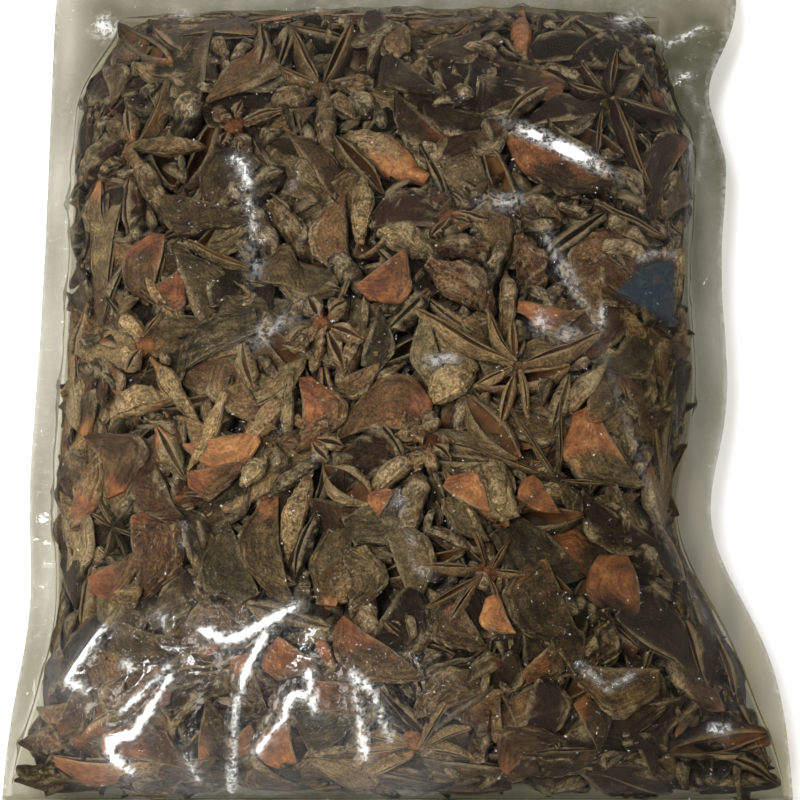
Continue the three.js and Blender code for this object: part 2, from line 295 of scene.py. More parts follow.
# A closed follicle's grid. Along: rings at shares of the length, shrunk to a point at both ends. Around: the
# outer wall from lip over keel to lip, then back through the seam along the inner wall.
def follicleGrid(rings, outer, inner):
    u = np.concatenate([[0.0, 0.0], np.linspace(0.0, 1.0, rings - 3) ** 0.95, [1.0]])
    swell = np.concatenate([[0.0, 0.7], np.ones(rings - 3), [0.0]])
    turn = np.linspace(-1, 1, outer)
    outerAngle = np.pi + (np.pi - lipAngle) * np.sign(turn) * np.abs(turn) ** 0.9
    innerAngle = np.linspace(2 * np.pi - lipAngle * 2.5, lipAngle * 2.5, inner)
    angle = np.concatenate([outerAngle, innerAngle])
    isInner = np.concatenate([np.zeros(outer), np.ones(inner)])
    return u[None, :, None], swell[None, :, None], angle[None, None, :], isInner[None, None, :]


# Each ring: half depth times one minus cosine gives the depth, half thickness times a power of the sine the
# thickness. The flanks sink in by patches, the lips gape, and the inner wall keeps inside the outer one.
def follicleRings(s, profile, u, angle, isInner, line):
    seam, half, wide = profile
    wall = 0.55
    ends = np.sin(np.pi * np.clip(u, 0, 1)) ** 0.6
    opened = s["open"] * ends
    down = 1 - np.cos(angle)
    side = np.sign(np.sin(angle)) * np.abs(np.sin(angle)) ** s["edge"]
    side = side * (1 - s["pinch"] * (1 + np.cos(angle)) / 2)
    flank = bell(np.cos(angle) + 0.05, 0.6) * bell(u - 0.55, 0.33)
    sunk = 1 - s["sink"] * flank * (0.4 + 1.2 * noise(line + [0, 5, 0], 6.0, 10))
    gape = 0.5 * s["gape"] * ends * (1 + np.cos(angle)) / 2 * np.sign(np.sin(angle))
    outerY = seam - half * down
    outerZ = wide * side * sunk + gape
    innerY = seam - 0.1 - np.maximum(half - wall * 0.5, 0.1) * down * opened
    innerZ = np.maximum(wide - wall, 0.05) * side * np.sqrt(opened) + gape * 0.9
    lip = bell(down - (1 - math.cos(lipAngle)), 0.05) * (1 - isInner)
    y = np.where(isInner > 0, innerY, outerY) + 0.25 * lip * ends
    return y, np.where(isInner > 0, innerZ, outerZ), down, lip, ends, opened


# height of the wrinkles: crests of a warped noise along the pod and across it, with broad and small lumps
def follicleWrinkles(s, skin, broad, lumpy, share):
    bent = broad[..., None]
    folds = ridged(skin * [0.2, 0.7, 1] + 2.2 * bent, 1.0, 3)
    crosswise = ridged(skin * [0.6, 0.2, 1] + 1.5 * bent, 1.0, 4)
    crossed = np.clip(s["across"] * (0.4 + 0.6 * smooth(0.15, 0.8, share)), 0, 1)
    creases = mix(folds, crosswise, crossed) - 0.55
    return 1.3 * s["wobble"] * broad + s["wrinkle"] * (1.7 * creases + 1.0 * lumpy), crossed


# noise along the length sways the pod both ways, and it is twisted about its length
def swayAndTwist(s, points, line, u):
    alongPlace = line + 0 * points
    points[..., 1] += 1.2 * s["wobble"] * (noise(alongPlace, 6.0, 5) - 0.5)
    points[..., 2] += (0.8 + 1.2 * s["wobble"]) * (noise(alongPlace, 8.0, 6) - 0.5)
    twist = s["twist"] * (u - 0.5)
    y = points[..., 1] * np.cos(twist) - points[..., 2] * np.sin(twist)
    z = points[..., 1] * np.sin(twist) + points[..., 2] * np.cos(twist)
    return np.stack([points[..., 0] - s["length"] / 2, y + s["depth"] / 2, z], -1)


# Follicles' points, what their skin reads at each point, and their surface places in centimetres.
def follicleForms(shapes, rings, outer, inner):
    u, swell, angle, isInner = follicleGrid(rings, outer, inner)
    seam, half, wide = follicleProfile(shapes, u)
    s = {key: value[:, None, None] for key, value in shapes.items() if value.ndim == 1}
    place = shapes["place"][:, None, None, :]
    along = s["length"] * u
    line = np.stack([along, 0 * along, 0 * along], -1) + place
    half = half * (1 + 0.42 * s["wobble"] * (noise(line, 3.2, 7) - 0.5))
    seam = seam + 1.1 * s["wobble"] * (noise(line, 5.0, 8) - 0.5)
    y, z, down, lip, ends, opened = follicleRings(s, (seam, half, wide), u, angle, isInner, line)
    x = along + 0 * y
    middle = seam - half
    points = np.stack([x, middle + (y - middle) * swell, z * swell], -1)
    where = points + place
    share = np.clip(down / 2, 0, 1)
    broad = noise(where, 5.0, 2) - 0.5
    lumpy = noise(where, 2.2, 9) - 0.5
    facet = u + 0.30 * share + 0.6 * (noise(where, 4.5, 1) - 0.5) + 0.3 * lumpy
    orange = smooth(0.36, -0.28, facet - s["orangeReach"]) * (1 - isInner) + 0 * x
    skin = np.stack([x, angle * (half + wide) / 2, 0 * x], -1) + place
    relief, crossed = follicleWrinkles(s, skin, broad, lumpy, share)
    calm = (1 - 0.6 * orange) * (1 - 0.5 * lip) * swell
    relief = np.where(isInner > 0, 0.25 * broad, relief) * calm
    points = points + np.stack([0 * relief, np.cos(angle) * relief, np.sin(angle) * relief], -1)
    points = swayAndTwist(s, points, line, u)
    flat = 0 * x
    looks = {
        "orange": orange,
        "lip": np.clip(lip * 1.2, 0, 1) * ends + flat,
        "inner": isInner * smooth(0.02, 0.3, opened) + flat,
        "tone": s["tone"] + flat,
        "warmth": s["warmth"] + flat,
        "ridge": np.clip(0.42 + 1.6 * standOut(points), 0, 1) * (1 - isInner),
        "crossed": crossed + flat,
        "wrinkled": s["wrinkle"] + flat,
        "share": share * (1 - isInner) + flat,
    }
    steps = np.linalg.norm(np.diff(points, axis=2, prepend=points[:, :, :1]), axis=-1)
    arc = np.cumsum(steps, axis=2)
    arc = arc - arc[:, :, outer // 2:outer // 2 + 1]
    uv = np.stack([x, arc], -1) / 10 + place[..., :2] / 10
    return points, looks, uv


# balls that fill a follicle, for packing: two at each of five stations, in its own frame
def follicleBalls(shapes):
    u = np.array([0.10, 0.30, 0.52, 0.73, 0.92])[None, :]
    seam, half, wide = follicleProfile(shapes, u)
    wide = wide + 0.25 * shapes["gape"][:, None] * np.sin(np.pi * u)
    radius = np.clip(np.minimum(wide, half), 0.7, 5)
    apart = np.maximum(half - radius, 0) * 0.8
    x = shapes["length"][:, None] * (u - 0.5)
    y = seam - half + shapes["depth"][:, None] / 2
    first = np.stack([x, y + apart, 0 * x], -1)
    second = np.stack([x, y - apart, 0 * x], -1)
    return np.concatenate([first, second], 1), np.concatenate([radius, radius], 1)


print("forms ready")

# the film's places, one grid shared by its upper and lower sheet
filmGrid = {
    "heapColumns": 180, "edgeColumns": 7, "heapRows": 218, "finRows": 26, "bottomRows": 3,
    "halfWidth": 66, "halfLength": 79, "rise": 22,  # of the heap, to space its rows and columns
}


# heap places from -1 to 1, evenly spaced along the curve that the film takes over the heap's round shoulder
def evenPlaces(count, roundness, halfWidth, rise):
    place = np.sin(np.linspace(-np.pi / 2, np.pi / 2, 4001))
    height = rise * np.sqrt(np.clip(1 - np.abs(place) ** roundness, 0, 1))
    step = np.hypot(np.diff(place * halfWidth), np.diff(height))
    length = np.concatenate([[0], np.cumsum(step)])
    return np.interp(np.linspace(0, length[-1], count), length, place)


def filmPlaces():
    width, length, rise = filmGrid["halfWidth"], filmGrid["halfLength"], filmGrid["rise"]
    across = evenPlaces(filmGrid["heapColumns"] + 1, heap["roundAbove"], width, rise)
    along = evenPlaces(filmGrid["heapRows"] + 1, heap["roundAbove"] * heap["endRound"], length, rise)
    edge = np.linspace(0, 1, filmGrid["edgeColumns"] + 1)
    half = (heap["top"] - heap["bottom"]) / 2
    middle = (heap["top"] + heap["bottom"]) / 2
    bottomRows = np.linspace(-bag["length"] / 2, heap["bottom"], filmGrid["bottomRows"] + 1)[:-1]
    finRows = np.linspace(heap["top"], bag["length"] / 2, filmGrid["finRows"] + 1)[1:]
    y = np.concatenate([bottomRows, middle + half * along, finRows])[:, None]
    left, right = heapSides(np.clip(y, heap["bottom"], heap["top"]))
    heapX = (left + right) / 2 + (right - left) / 2 * across[None, :]
    leftX = filmLeft(y) + (heapX[:, :1] - filmLeft(y)) * edge[None, :-1]
    rightX = heapX[:, -1:] + (filmRight(y) - heapX[:, -1:]) * edge[None, 1:]
    x = np.concatenate([leftX, heapX, rightX], 1)
    return x, np.broadcast_to(y, x.shape).copy()


# seam height plus the heap's rise times the root of its share: the film laid over or under the heap
def nominalSheet(x, y, above):
    across, along = heapPlace(x, y)
    roundness = heap["roundAbove"] if above else heap["roundBelow"]
    full = np.sqrt(heapShare(across, along, roundness))
    if above:
        return seamHeight(y) + bag["halfGap"] + upperRise(x, y) * full
    return np.maximum(seamHeight(y) - bag["halfGap"] - (heap["seam"] + heap["belly"]) * full, 0.0)


# unit normals of a height grid, outwards
def gridNormals(x, y, z, above):
    points = np.stack([x, y, z], -1)
    normal = np.cross(np.gradient(points, axis=1), np.gradient(points, axis=0))
    normal /= np.maximum(np.linalg.norm(normal, axis=-1, keepdims=True), 1e-9)
    return normal if above else -normal


# a point of the upper film and its normal, from its slopes
def filmPoint(x, y):
    step = 1.5
    z = nominalSheet(np.float64(x), np.float64(y), True)
    slopeX = (nominalSheet(x + step, y, True) - nominalSheet(x - step, y, True)) / (2 * step)
    slopeY = (nominalSheet(x, y + step, True) - nominalSheet(x, y - step, True)) / (2 * step)
    normal = np.array([-slopeX, -slopeY, 1.0])
    return np.array([x, y, z]), normal / np.linalg.norm(normal)


filmX, filmY = filmPlaces()
upperZ = nominalSheet(filmX, filmY, True)
lowerZ = nominalSheet(filmX, filmY, False)
upperNormal = gridNormals(filmX, filmY, upperZ, True)
lowerNormal = gridNormals(filmX, filmY, lowerZ, False)


packing = {
    "clearance": 0.35, "lowest": 1.0,  # inside the film, and above the table
    # painted shade: a pod's colour is darkened for each millimetre that it sinks, and more where it lies keel
    # or seam up
    "step": 0.6, "shade": 0.06,  # one step of sinking, and how much darker a pod is for each millimetre of it
    "keelShade": 0.14,  # how much darker one is that lies keel or seam up
    "namedSink": 3.6, "namedSqueeze": 1.6, "namedCover": 4,  # how deep, how far over others, over how many
}
# the height of the pods laid by name over each cell of a fine grid, which nothing scattered may cover
claimCell, claimCorner = 0.8, (-76, -104)
claimed = np.full((190, 260), -99.0)


def claimCells(points):
    column = np.clip((points[..., 0] - claimCorner[0]) / claimCell, 0, claimed.shape[0] - 1).astype(int)
    row = np.clip((points[..., 1] - claimCorner[1]) / claimCell, 0, claimed.shape[1] - 1).astype(int)
    return column, row


def claim(shapes, podFrame, origin):
    u = np.linspace(0.02, 0.98, 34)[None, :]
    turn = (np.arange(20) * np.pi / 10)[:, None]
    seam, half, wide = follicleProfile(shapes, u)
    for share in (0.3, 0.6, 0.85, 1.05):
        along = shapes["length"][0] * (u - 0.5) + 0 * turn
        across = seam - half + shapes["depth"][0] / 2 + half * share * np.cos(turn)
        world = np.stack([along, across, wide * share * np.sin(turn)], -1) @ podFrame.T + origin
        np.maximum.at(claimed, claimCells(world), world[..., 2])


def coversNamed(balls, radii):
    return (balls[:, 2] + radii > claimed[claimCells(balls)] - 1.0) & (claimed[claimCells(balls)] > 0)


# Pods are set against the film first, then behind one another.
class Pile:
    def __init__(self):
        self.balls = np.zeros((90000, 3))
        self.radii = np.zeros(90000)
        self.middles = np.zeros((9000, 3))
        self.reaches = np.zeros(9000)
        self.starts = np.zeros(9001, int)
        self.count = 0

    def add(self, balls, radii):
        start = self.starts[self.count]
        self.balls[start:start + len(balls)] = balls
        self.radii[start:start + len(balls)] = radii
        middle = balls.mean(0)
        self.middles[self.count] = middle
        self.reaches[self.count] = (np.linalg.norm(balls - middle, axis=1) + radii).max()
        self.count += 1
        self.starts[self.count] = start + len(balls)

    # the least way to sink along the film's normal before nothing overlaps by more than the squeeze,
    # and at most so many balls cover a pod laid by name
    def sinkNeeded(self, balls, radii, normal, deepest, squeeze, coverable):
        middle = balls.mean(0)
        reach = (np.linalg.norm(balls - middle, axis=1) + radii).max() + deepest
        n = self.count
        gap = self.middles[:n] - middle
        near = np.nonzero((gap * gap).sum(1) < (self.reaches[:n] + reach) ** 2)[0]
        ranges = [np.arange(self.starts[i], self.starts[i + 1]) for i in near]
        picks = np.concatenate(ranges) if ranges else np.zeros(0, int)
        between = balls[:, None, :] - self.balls[picks][None, :, :]
        square = (between * between).sum(-1)
        along = between @ normal
        limit = np.maximum(radii[:, None] + self.radii[picks][None, :] - squeeze, 0.1) ** 2
        for sink in np.arange(0.0, deepest + 1e-6, packing["step"]):
            if np.all(square - 2 * sink * along + sink * sink >= limit):
                if coversNamed(balls - normal * sink, radii).sum() <= coverable:
                    return sink
        return None


# frames for pods lying on the film: columns are the pod's own length, depth and thickness directions
def layFrames(normals, directions, poses, tips):
    lengthwise = directions - normals * (directions * normals).sum(1, keepdims=True)
    lengthwise /= np.linalg.norm(lengthwise, axis=1, keepdims=True)
    lengthwise = lengthwise + normals * tips[:, :1]
    lengthwise /= np.linalg.norm(lengthwise, axis=1, keepdims=True)
    sideways = np.cross(normals, lengthwise)
    sideways /= np.linalg.norm(sideways, axis=1, keepdims=True)
    facing = np.cross(lengthwise, sideways)
    roll = poses + tips[:, 1]
    depthwise = sideways * np.cos(roll)[:, None] + facing * np.sin(roll)[:, None]
    thickwise = np.cross(lengthwise, depthwise)
    return np.stack([lengthwise, depthwise, thickwise], -1)


# moves pods along the film's normal so that they lie just inside it
def setAgainstFilm(origins, frames, balls, radii, normals):
    clearance = packing["clearance"]
    world = np.einsum("nij,nkj->nki", frames, balls)
    extent = (np.einsum("nki,ni->nk", world, normals) + radii).max(1)
    origins = origins - normals * (extent + clearance)[:, None]
    for _ in range(3):
        room = (roomInside(origins[:, None, :] + world) - radii).min(1) - clearance
        origins = origins - normals * np.clip(-room, 0, 4)[:, None]
    room = (roomInside(origins[:, None, :] + world) - radii).min(1) - clearance
    return origins, world, room > -0.5


pile = Pile()
laid = []  # kind, pass, shape, frame and origin of each pod
poseAngles = {"left": 0.0, "right": np.pi, "seam": np.pi / 2, "keel": -np.pi / 2}


def surfaceSpots(count, side, random):
    x, y = filmX, filmY
    z, normal = (upperZ, upperNormal) if side == "above" else (lowerZ, lowerNormal)
    points = np.stack([x, y, z], -1)
    area = np.linalg.norm(np.cross(np.gradient(points, axis=1), np.gradient(points, axis=0)), axis=-1)
    across, along = heapPlace(x, y)
    area = np.where((np.abs(across) < 0.999) & (np.abs(along) < 0.999), area, 0)
    picks = random.choice(area.size, count, p=area.ravel() / area.sum())
    return points.reshape(-1, 3)[picks], normal.reshape(-1, 3)[picks]


# painted shade and painted light: how much darker the pods are painted towards the right corners and the top,
# and how much lighter below the middle, for how the light falls off across the heap
def paintedFalloff(x, y):
    corners = 0.36 * smooth(5, 45, x) * smooth(-15, -60, y) + 0.30 * smooth(-5, 30, x) * smooth(5, 30, y)
    return corners + 0.06 * smooth(5, 25, y) - 0.31 * bell(y + 26, 26) * smooth(45, 20, x)


def keepPod(kind, passName, shape, podFrame, origin, world, radii):
    pile.add(origin + world, radii)
    paintedDarkening = paintedFalloff(origin[0], origin[1])
    # painted shade: the pod's tone is lowered by its place, and its warmth drawn towards an olive middle with
    # it
    shape["tone"] = shape["tone"] - paintedDarkening
    shape["warmth"] = mix(shape["warmth"], 0.6, min(2.5 * max(paintedDarkening, 0.0), 0.8))
    laid.append({"kind": kind, "pass": passName, "shape": shape, "frame": podFrame, "origin": origin})


# One pass of packing: many tries of each kind in random order, kept where they fit within the given depth.
def packPass(name, side, tries, deepest, squeeze, share, scale=1.0, tilt=0.12):
    random = seeded(name)
    batches = []
    for kind, part in share.items():
        count = int(tries * part)
        shapes = drawShapes(kind, count, random)
        for key in ("length", "depth", "thickness", "gape"):
            shapes[key] = shapes[key] * scale
        spots, normals = surfaceSpots(count, side, random)
        pick = random.random(count)
        if kind == "broad":
            poses = np.where(pick < 0.5, poseAngles["left"], poseAngles["right"])
        elif kind == "keel":
            poses = np.where(pick < 0.62, poseAngles["keel"], poseAngles["seam"])
        else:
            poses = np.where(pick < 0.75, poseAngles["seam"], np.where(pick < 0.9, 0.6, poseAngles["keel"]))
        tips = random.normal(0, 1, (count, 2)) * tilt
        frames = layFrames(normals, random.normal(0, 1, (count, 3)), poses, tips)
        balls, radii = follicleBalls(shapes)
        origins, world, fits = setAgainstFilm(spots, frames, balls, radii, normals)
        batches += [(kind, i, shapes, frames, origins, world, radii, normals) for i in np.nonzero(fits)[0]]
    kept = 0
    for j in random.permutation(len(batches)):
        kind, i, shapes, frames, origins, world, radii, normals = batches[j]
        sink = pile.sinkNeeded(origins[i] + world[i], radii[i], normals[i], deepest, squeeze, 0)
        if sink is None:
            continue
        origin = origins[i] - normals[i] * sink
        if (origin + world[i])[:, 2].min() < packing["lowest"]:
            continue
        shape = {key: value[i] for key, value in shapes.items()}
        # painted shade for the depth that the pod sinks and for lying keel or seam up
        keelShade = packing["keelShade"] if kind == "keel" else 0.0
        shape["tone"] = shape["tone"] - packing["shade"] * sink - keelShade
        keepPod(kind, name, shape, frames[i], origin, world[i], radii[i])
        kept += 1
    print(f"{name}: {kept} of {len(batches)} pods fit")


# Pods that lie where they are told, by kind and by what is up: where, which way the tip points, length, width
# seen, how far the orange reaches, warmth and tone.
namedPods = {
    ("broad", "left"): [
        (-59, 11, 250, 20.9, 6.2, -0.2, 0.3, 0.8), (-51, 7, 254, 14.3, 9.2, 0.55, 0.8, 0.5),
        (-35, -7, 198, 17.8, 7.5, -0.6, 0, 0.26), (-32, -38, 9, 11.3, 6.1, 0.6, 0.95, 0.45),
        (-51, -31, 104, 13.8, 10.2, 0.38, 0.75, 0.15), (-57, -36, 52, 15.5, 7.1, 0.45, 0.7, 0.55),
        (-51, -55, 10, 12.6, 6.2, 0.65, 0.85, 0.6), (-49, -59, 2, 6.4, 4.3, -0.2, 0.5, 0.65),
        (-24, -51, 276, 21.7, 7.2, 0.2, 0.4, 0.35), (-3, -45, 27, 12.1, 7.5, -0.4, 0.05, 0.3),
        (4, -50, 106, 17.1, 7.8, -0.3, 0.2, 0.5), (-4, -41, 247, 5.5, 4, 1.2, 0.9, 0.6),
        (-2, -20, 178, 17.4, 11.8, 0.5, 0.95, 0.4), (36, -32, 297, 17.5, 10.6, 0.8, 0.25, 0.6),
        (38, -57, 275, 12.5, 10, 1, 0.45, 0.6), (24, -41, 297, 8.5, 5.8, 1.3, 0.75, 0.8),
        (11, -45, 292, 10.2, 5.1, -0.3, 0.2, 0.5), (23, -52, 309, 16.9, 11.2, -0.5, 0, 0.32),
        (24, -62, 286, 17.3, 10.3, 0.15, 0.25, 0.45), (17, -63, 290, 8, 4.6, 1.2, 0.4, 0.9),
        (27, -72, 40, 9.2, 5.3, 0.45, 0.8, 0.6), (29, -88, 7, 15.1, 6.4, -0.2, 0.4, 0.4),
        (-35, 64, 159, 15.3, 8.5, 0.1, 0.5, 0.4), (-21, 68, 221, 18.3, 3.8, 1.3, 0.7, 0.9),
        (-35, 26, 225, 14.4, 9.7, -0.2, 0.5, 0.35), (-38, 15, 340, 17.4, 8.4, -0.2, 0.5, 0.38),
        (-60, 21, 290, 13.9, 4.7, 0.5, 0.3, 0.9), (12, 64, 17, 18.8, 5.6, 0.2, 0.6, 0.7),
        (30, 26, 326, 22.4, 7.8, 0.6, 0.45, 0.6), (-1, 2, 38, 11.9, 8.2, 0.9, 1, 0.8),
        (29, -4, 349, 12.9, 4.9, 0.9, 0.8, 0.6), (39, -20, 80, 11.7, 5.2, 0.2, 0.5, 0.5),
        (-5, -71, 317, 18.5, 7.1, 0.35, 0.7, 0.6), (-20, -72, 316, 9.4, 6.7, 0.85, 0.7, 0.6),
        (-27, -75, 285, 11.7, 4.9, 0.4, 0.6, 0.5), (-22, -86, 271, 11.4, 7.1, 1.3, 0.6, 0.9),
        (-10, -78, 352, 11.8, 5.6, 0.45, 0.9, 0.5), (-13, -84, 351, 10.9, 8.8, -0.5, 0.1, 0.3),
        (-51, -89, 2, 20.5, 7.2, 0.85, 0.6, 0.9), (-37, -89, 18, 11.4, 5.8, -0.3, 0.1, 0.45),
        (-31, -83, 77, 11.5, 5.3, 0.2, 0.5, 0.4), (-57, -78, 48, 12.8, 5.7, 0.3, 0.6, 0.5),
        (-45, -68, 343, 14.4, 6.4, -0.1, 0.3, 0.5), (10, -66, 301, 10.1, 7.1, 0.3, 0.7, 0.5),
        (12, 54, 25, 13.5, 7.1, -0.1, 0.5, 0.5), (1, 46, 309, 15.8, 6.8, -0.3, 0.1, 0.35),
        (53, 30, 234, 23.5, 6.9, 0.2, 0.7, 0.35),
    ],
    ("broad", "right"): [
        (-43, 0, 217, 9.9, 6.8, 0.7, 0.95, 0.5), (-21, 7, 354, 10, 8.4, 0.1, 0.5, 0.42),
        (-31, -33, 196, 13.8, 7.7, 1.4, 0.2, 1), (-42, -50, 282, 15.8, 10.5, 0.15, 0.95, 0.3),
        (-32, -54, 115, 15.1, 8.5, -0.4, 0.05, 0.3), (-13, -51, 82, 18, 7.4, 0.3, 0.3, 0.5),
        (-4, -55, 285, 12, 7.9, -0.3, 0.3, 0.5), (-13, -24, 274, 14.6, 8.5, 0.6, 1, 0.6),
        (4, -11, 106, 15.4, 5.5, -0.4, 0.1, 0.62), (37, -49, 338, 16.9, 9, 0.5, 0.3, 0.6),
        (14, -38, 331, 9.7, 5.8, 1, 0.7, 0.7), (32, -68, 311, 8.1, 6, -0.2, 0.4, 0.5),
        (49, -61, 340, 17.8, 10.4, -0.3, 0.3, 0.38), (22, -84, 49, 12.8, 7.5, 0.4, 0.8, 0.5),
        (36, -80, 304, 9.8, 5.3, 0.5, 0.6, 0.6), (-44, -84, 357, 16.7, 7.4, 0.7, 0.9, 0.5),
        (29, -8, 13, 13, 4.5, -0.3, 0.2, 0.55), (41, 65, 183, 17.8, 7, 0, 0.5, 0.5),
    ],
    ("keel", "keel"): [
        (-46, 0, 299, 9.9, 1.9, 0.2, 0.6, 0.95), (-20, -22, 268, 12.7, 2, -0.3, 0.1, 0.45),
        (-42, -18, 305, 16.8, 3.9, 0.35, 0.5, 0.75), (-35, -28, 250, 15.8, 3.1, 0.3, 0.5, 1),
        (-26, -35, 52, 7.7, 3.4, -0.3, 0.2, 0.85), (-18, -43, 258, 19.6, 4.4, 0, 0.5, 0.8),
        (-10, -56, 101, 7.8, 3.9, 0, 0.7, 0.6), (10, -17, 42, 12.6, 6.3, -0.2, 0.4, 0.85),
        (13, -44, 298, 7.2, 1.6, 0, 0.4, 0.9), (38, -66, 286, 10.2, 4.6, -0.2, 0.3, 0.55),
        (-7, 18, 269, 15.1, 4.2, -0.2, 0.4, 0.95), (25, 63, 269, 23.7, 4.2, 1.2, 0.5, 1),
        (13, 2, 327, 16.1, 9, 0.1, 1, 0.45), (26, 7, 294, 12.7, 6.5, 0.1, 1, 0.4),
        (2, 12, 334, 11.8, 7.2, -0.3, 0.2, 0.9), (56, 6, 279, 16.8, 3.9, -0.2, 0.3, 0.9),
        (-13, -69, 288, 7.9, 2.3, 1.2, 0.6, 0.9), (-63, -83, 17, 8.8, 4.3, 0.2, 0.9, 0.5),
        (-20, 26, 323, 14.2, 4.6, -0.1, 0.3, 0.7),
    ],
    ("arm", "seam"): [
        (-34, 8, 158, 12.8, 3.4, -0.3, 0.3, 0.62),
    ],
    ("keel", "seam"): [
        (-28, -15, 281, 10.1, 4.5, -0.2, 0.5, 0.6), (-42, -32, 300, 12, 5.1, 0.22, 0.1, 0.55),
        (30, -22, 74, 11.5, 2.9, -0.3, 0.1, 0.55), (46, 18, 344, 16.3, 3.1, 0.1, 0.7, 0.6),
    ],
    ("curl", "keel"): [
        (-48, -20, 196, 14.1, 5.2, 0.35, 0.5, 0.8), (-2, 31, 149, 19.7, 8.5, 0.9, 0.35, 1),
    ],
    ("open", "seam"): [
        (-9, -38, 319, 11.6, 5.5, 0, 0.5, 0.7), (17, -27, 129, 15.3, 5.8, 0, 0.5, 0.4),
        (58, -84, 183, 19.7, 6.1, 0.1, 0.5, 0.5), (-52, 61, 127, 26.1, 6, 0, 0.5, 0.6),
    ],
}

# Whole stars: where, how orange the hub is, warmth, tone, and each arm's kind, direction, length and width.
namedStars = [
    (-15, 46, 0.5, 0.6, 0.80, [  # star near the top
        ("arm", 69, 16.2, 5.7), ("arm", 112, 13.8, 4.9), ("arm", 159, 8.9, 3.4), ("keel", 204, 11.1, 4.6),
        ("keel", 278, 15.6, 4.2), ("curl", 316, 12.7, 3.8), ("curl", 3, 12.2, 3.4)]),
    (-53, 33, 0.8, 0.6, 0.80, [  # star at the left
        ("arm", 56, 15.0, 4.6), ("curl", 103, 11.1, 3.4), ("curl", 129, 11.6, 3.4),
        ("keel", 357, 15.1, 3.8), ("keel", 308, 18.8, 4.9), ("curl", 204, 8.9, 2.9)]),
    (42, 44, 0.3, 0.6, 0.45, [  # star at the right
        ("arm", 358, 13.7, 4.2), ("arm", 80, 12.4, 3.8), ("arm", 168, 8.2, 3.8), ("arm", 253, 15.4, 2.9),
        ("arm", 295, 21.2, 3.4), ("arm", 121, 11.6, 2.9)]),
    (-14, -6, 0.8, 0.7, 0.60, [  # curled star
        ("curl", 205, 7.9, 3.8), ("curl", 239, 11.2, 3.0), ("curl", 264, 10.9, 3.0),
        ("curl", 290, 12.1, 3.0), ("curl", 332, 10.6, 3.4), ("curl", 128, 6.9, 3.4),
        ("curl", 47, 6.2, 2.7)]),
    (22, -15, 0.5, 0.5, 0.85, [  # broad star
        ("arm", 149, 20.8, 4.9), ("arm", 112, 12.0, 3.8), ("arm", 89, 8.8, 2.5), ("arm", 26, 18.2, 5.3),
        ("needle", 201, 8.2, 1.9), ("arm", 253, 11.4, 3.4), ("arm", 285, 10.0, 2.3)]),
    (29, -37, 0.3, 0.3, 0.50, [  # slender star
        ("needle", 159, 18.7, 2.3), ("needle", 122, 16.6, 1.7), ("needle", 84, 15.0, 1.7),
        ("curl", 292, 7.2, 2.7), ("needle", 1, 8.6, 1.5), ("needle", 218, 8.6, 1.5)]),
    (16, -54, 0.9, 0.6, 0.80, [  # orange star
        ("needle", 107, 6.3, 1.7), ("needle", 173, 11.5, 3.0), ("arm", 209, 12.8, 3.8),
        ("arm", 231, 13.0, 3.0), ("needle", 346, 5.8, 1.7), ("needle", 282, 7.2, 1.7),
        ("needle", 47, 6.4, 1.5)]),
    (3, -85, 0.8, 0.6, 1.10, [  # thin star at the bottom
        ("needle", 189, 11.4, 2.5), ("needle", 159, 8.7, 2.3), ("needle", 67, 9.6, 2.7),
        ("needle", 23, 9.9, 2.7), ("needle", 237, 10.8, 2.5), ("needle", 339, 10.6, 2.5)]),
    (-52, -45, 0.1, 0.3, 0.45, [  # tiny star
        ("needle", 156, 5.0, 1.1), ("needle", 248, 4.7, 1.1), ("needle", 301, 5.5, 1.1),
        ("needle", 342, 5.9, 1.3), ("needle", 123, 5.5, 1.1), ("needle", 43, 5.1, 1.1)]),
    (-16, -29, 0.8, 1.0, 0.60, [  # knobbly star
        ("curl", 31, 5.9, 2.5), ("curl", 340, 7.0, 2.3), ("curl", 164, 5.4, 2.5), ("curl", 290, 5.7, 2.3),
        ("curl", 110, 5.6, 2.3)]),
    (6, -29, 0.7, 0.9, 0.55, [  # knobbly star beside it
        ("curl", 174, 7.3, 2.7), ("curl", 228, 7.6, 2.7), ("curl", 275, 7.9, 2.7), ("curl", 0, 5.1, 2.3),
        ("curl", 111, 6.1, 2.3), ("curl", 303, 6.6, 2.3), ("curl", 140, 8.6, 2.3)]),
    (-48, -9, 0.9, 0.4, 0.80, [  # yellow-brown hub
        ("curl", 147, 8.2, 2.3), ("curl", 251, 6.7, 1.9), ("curl", 206, 6.3, 1.9),
        ("needle", 55, 6.1, 1.7)]),
    (-32, 36, 1.0, 0.9, 0.50, [  # small red hub
        ("curl", 13, 12.9, 3.0), ("curl", 144, 7.0, 2.3), ("curl", 238, 6.5, 2.3), ("curl", 309, 6.9, 2.3),
        ("curl", 75, 6.1, 1.9)]),
    (10, 17, 0.7, 0.9, 0.55, [  # reddish star
        ("keel", 48, 14.1, 2.3), ("curl", 152, 6.9, 2.5), ("curl", 318, 6.1, 2.5), ("curl", 250, 7.2, 2.3),
        ("curl", 114, 9.3, 2.3), ("curl", 4, 7.7, 2.3)]),
]


def widthByLength(pod):
    return pod[5] * pod[6]


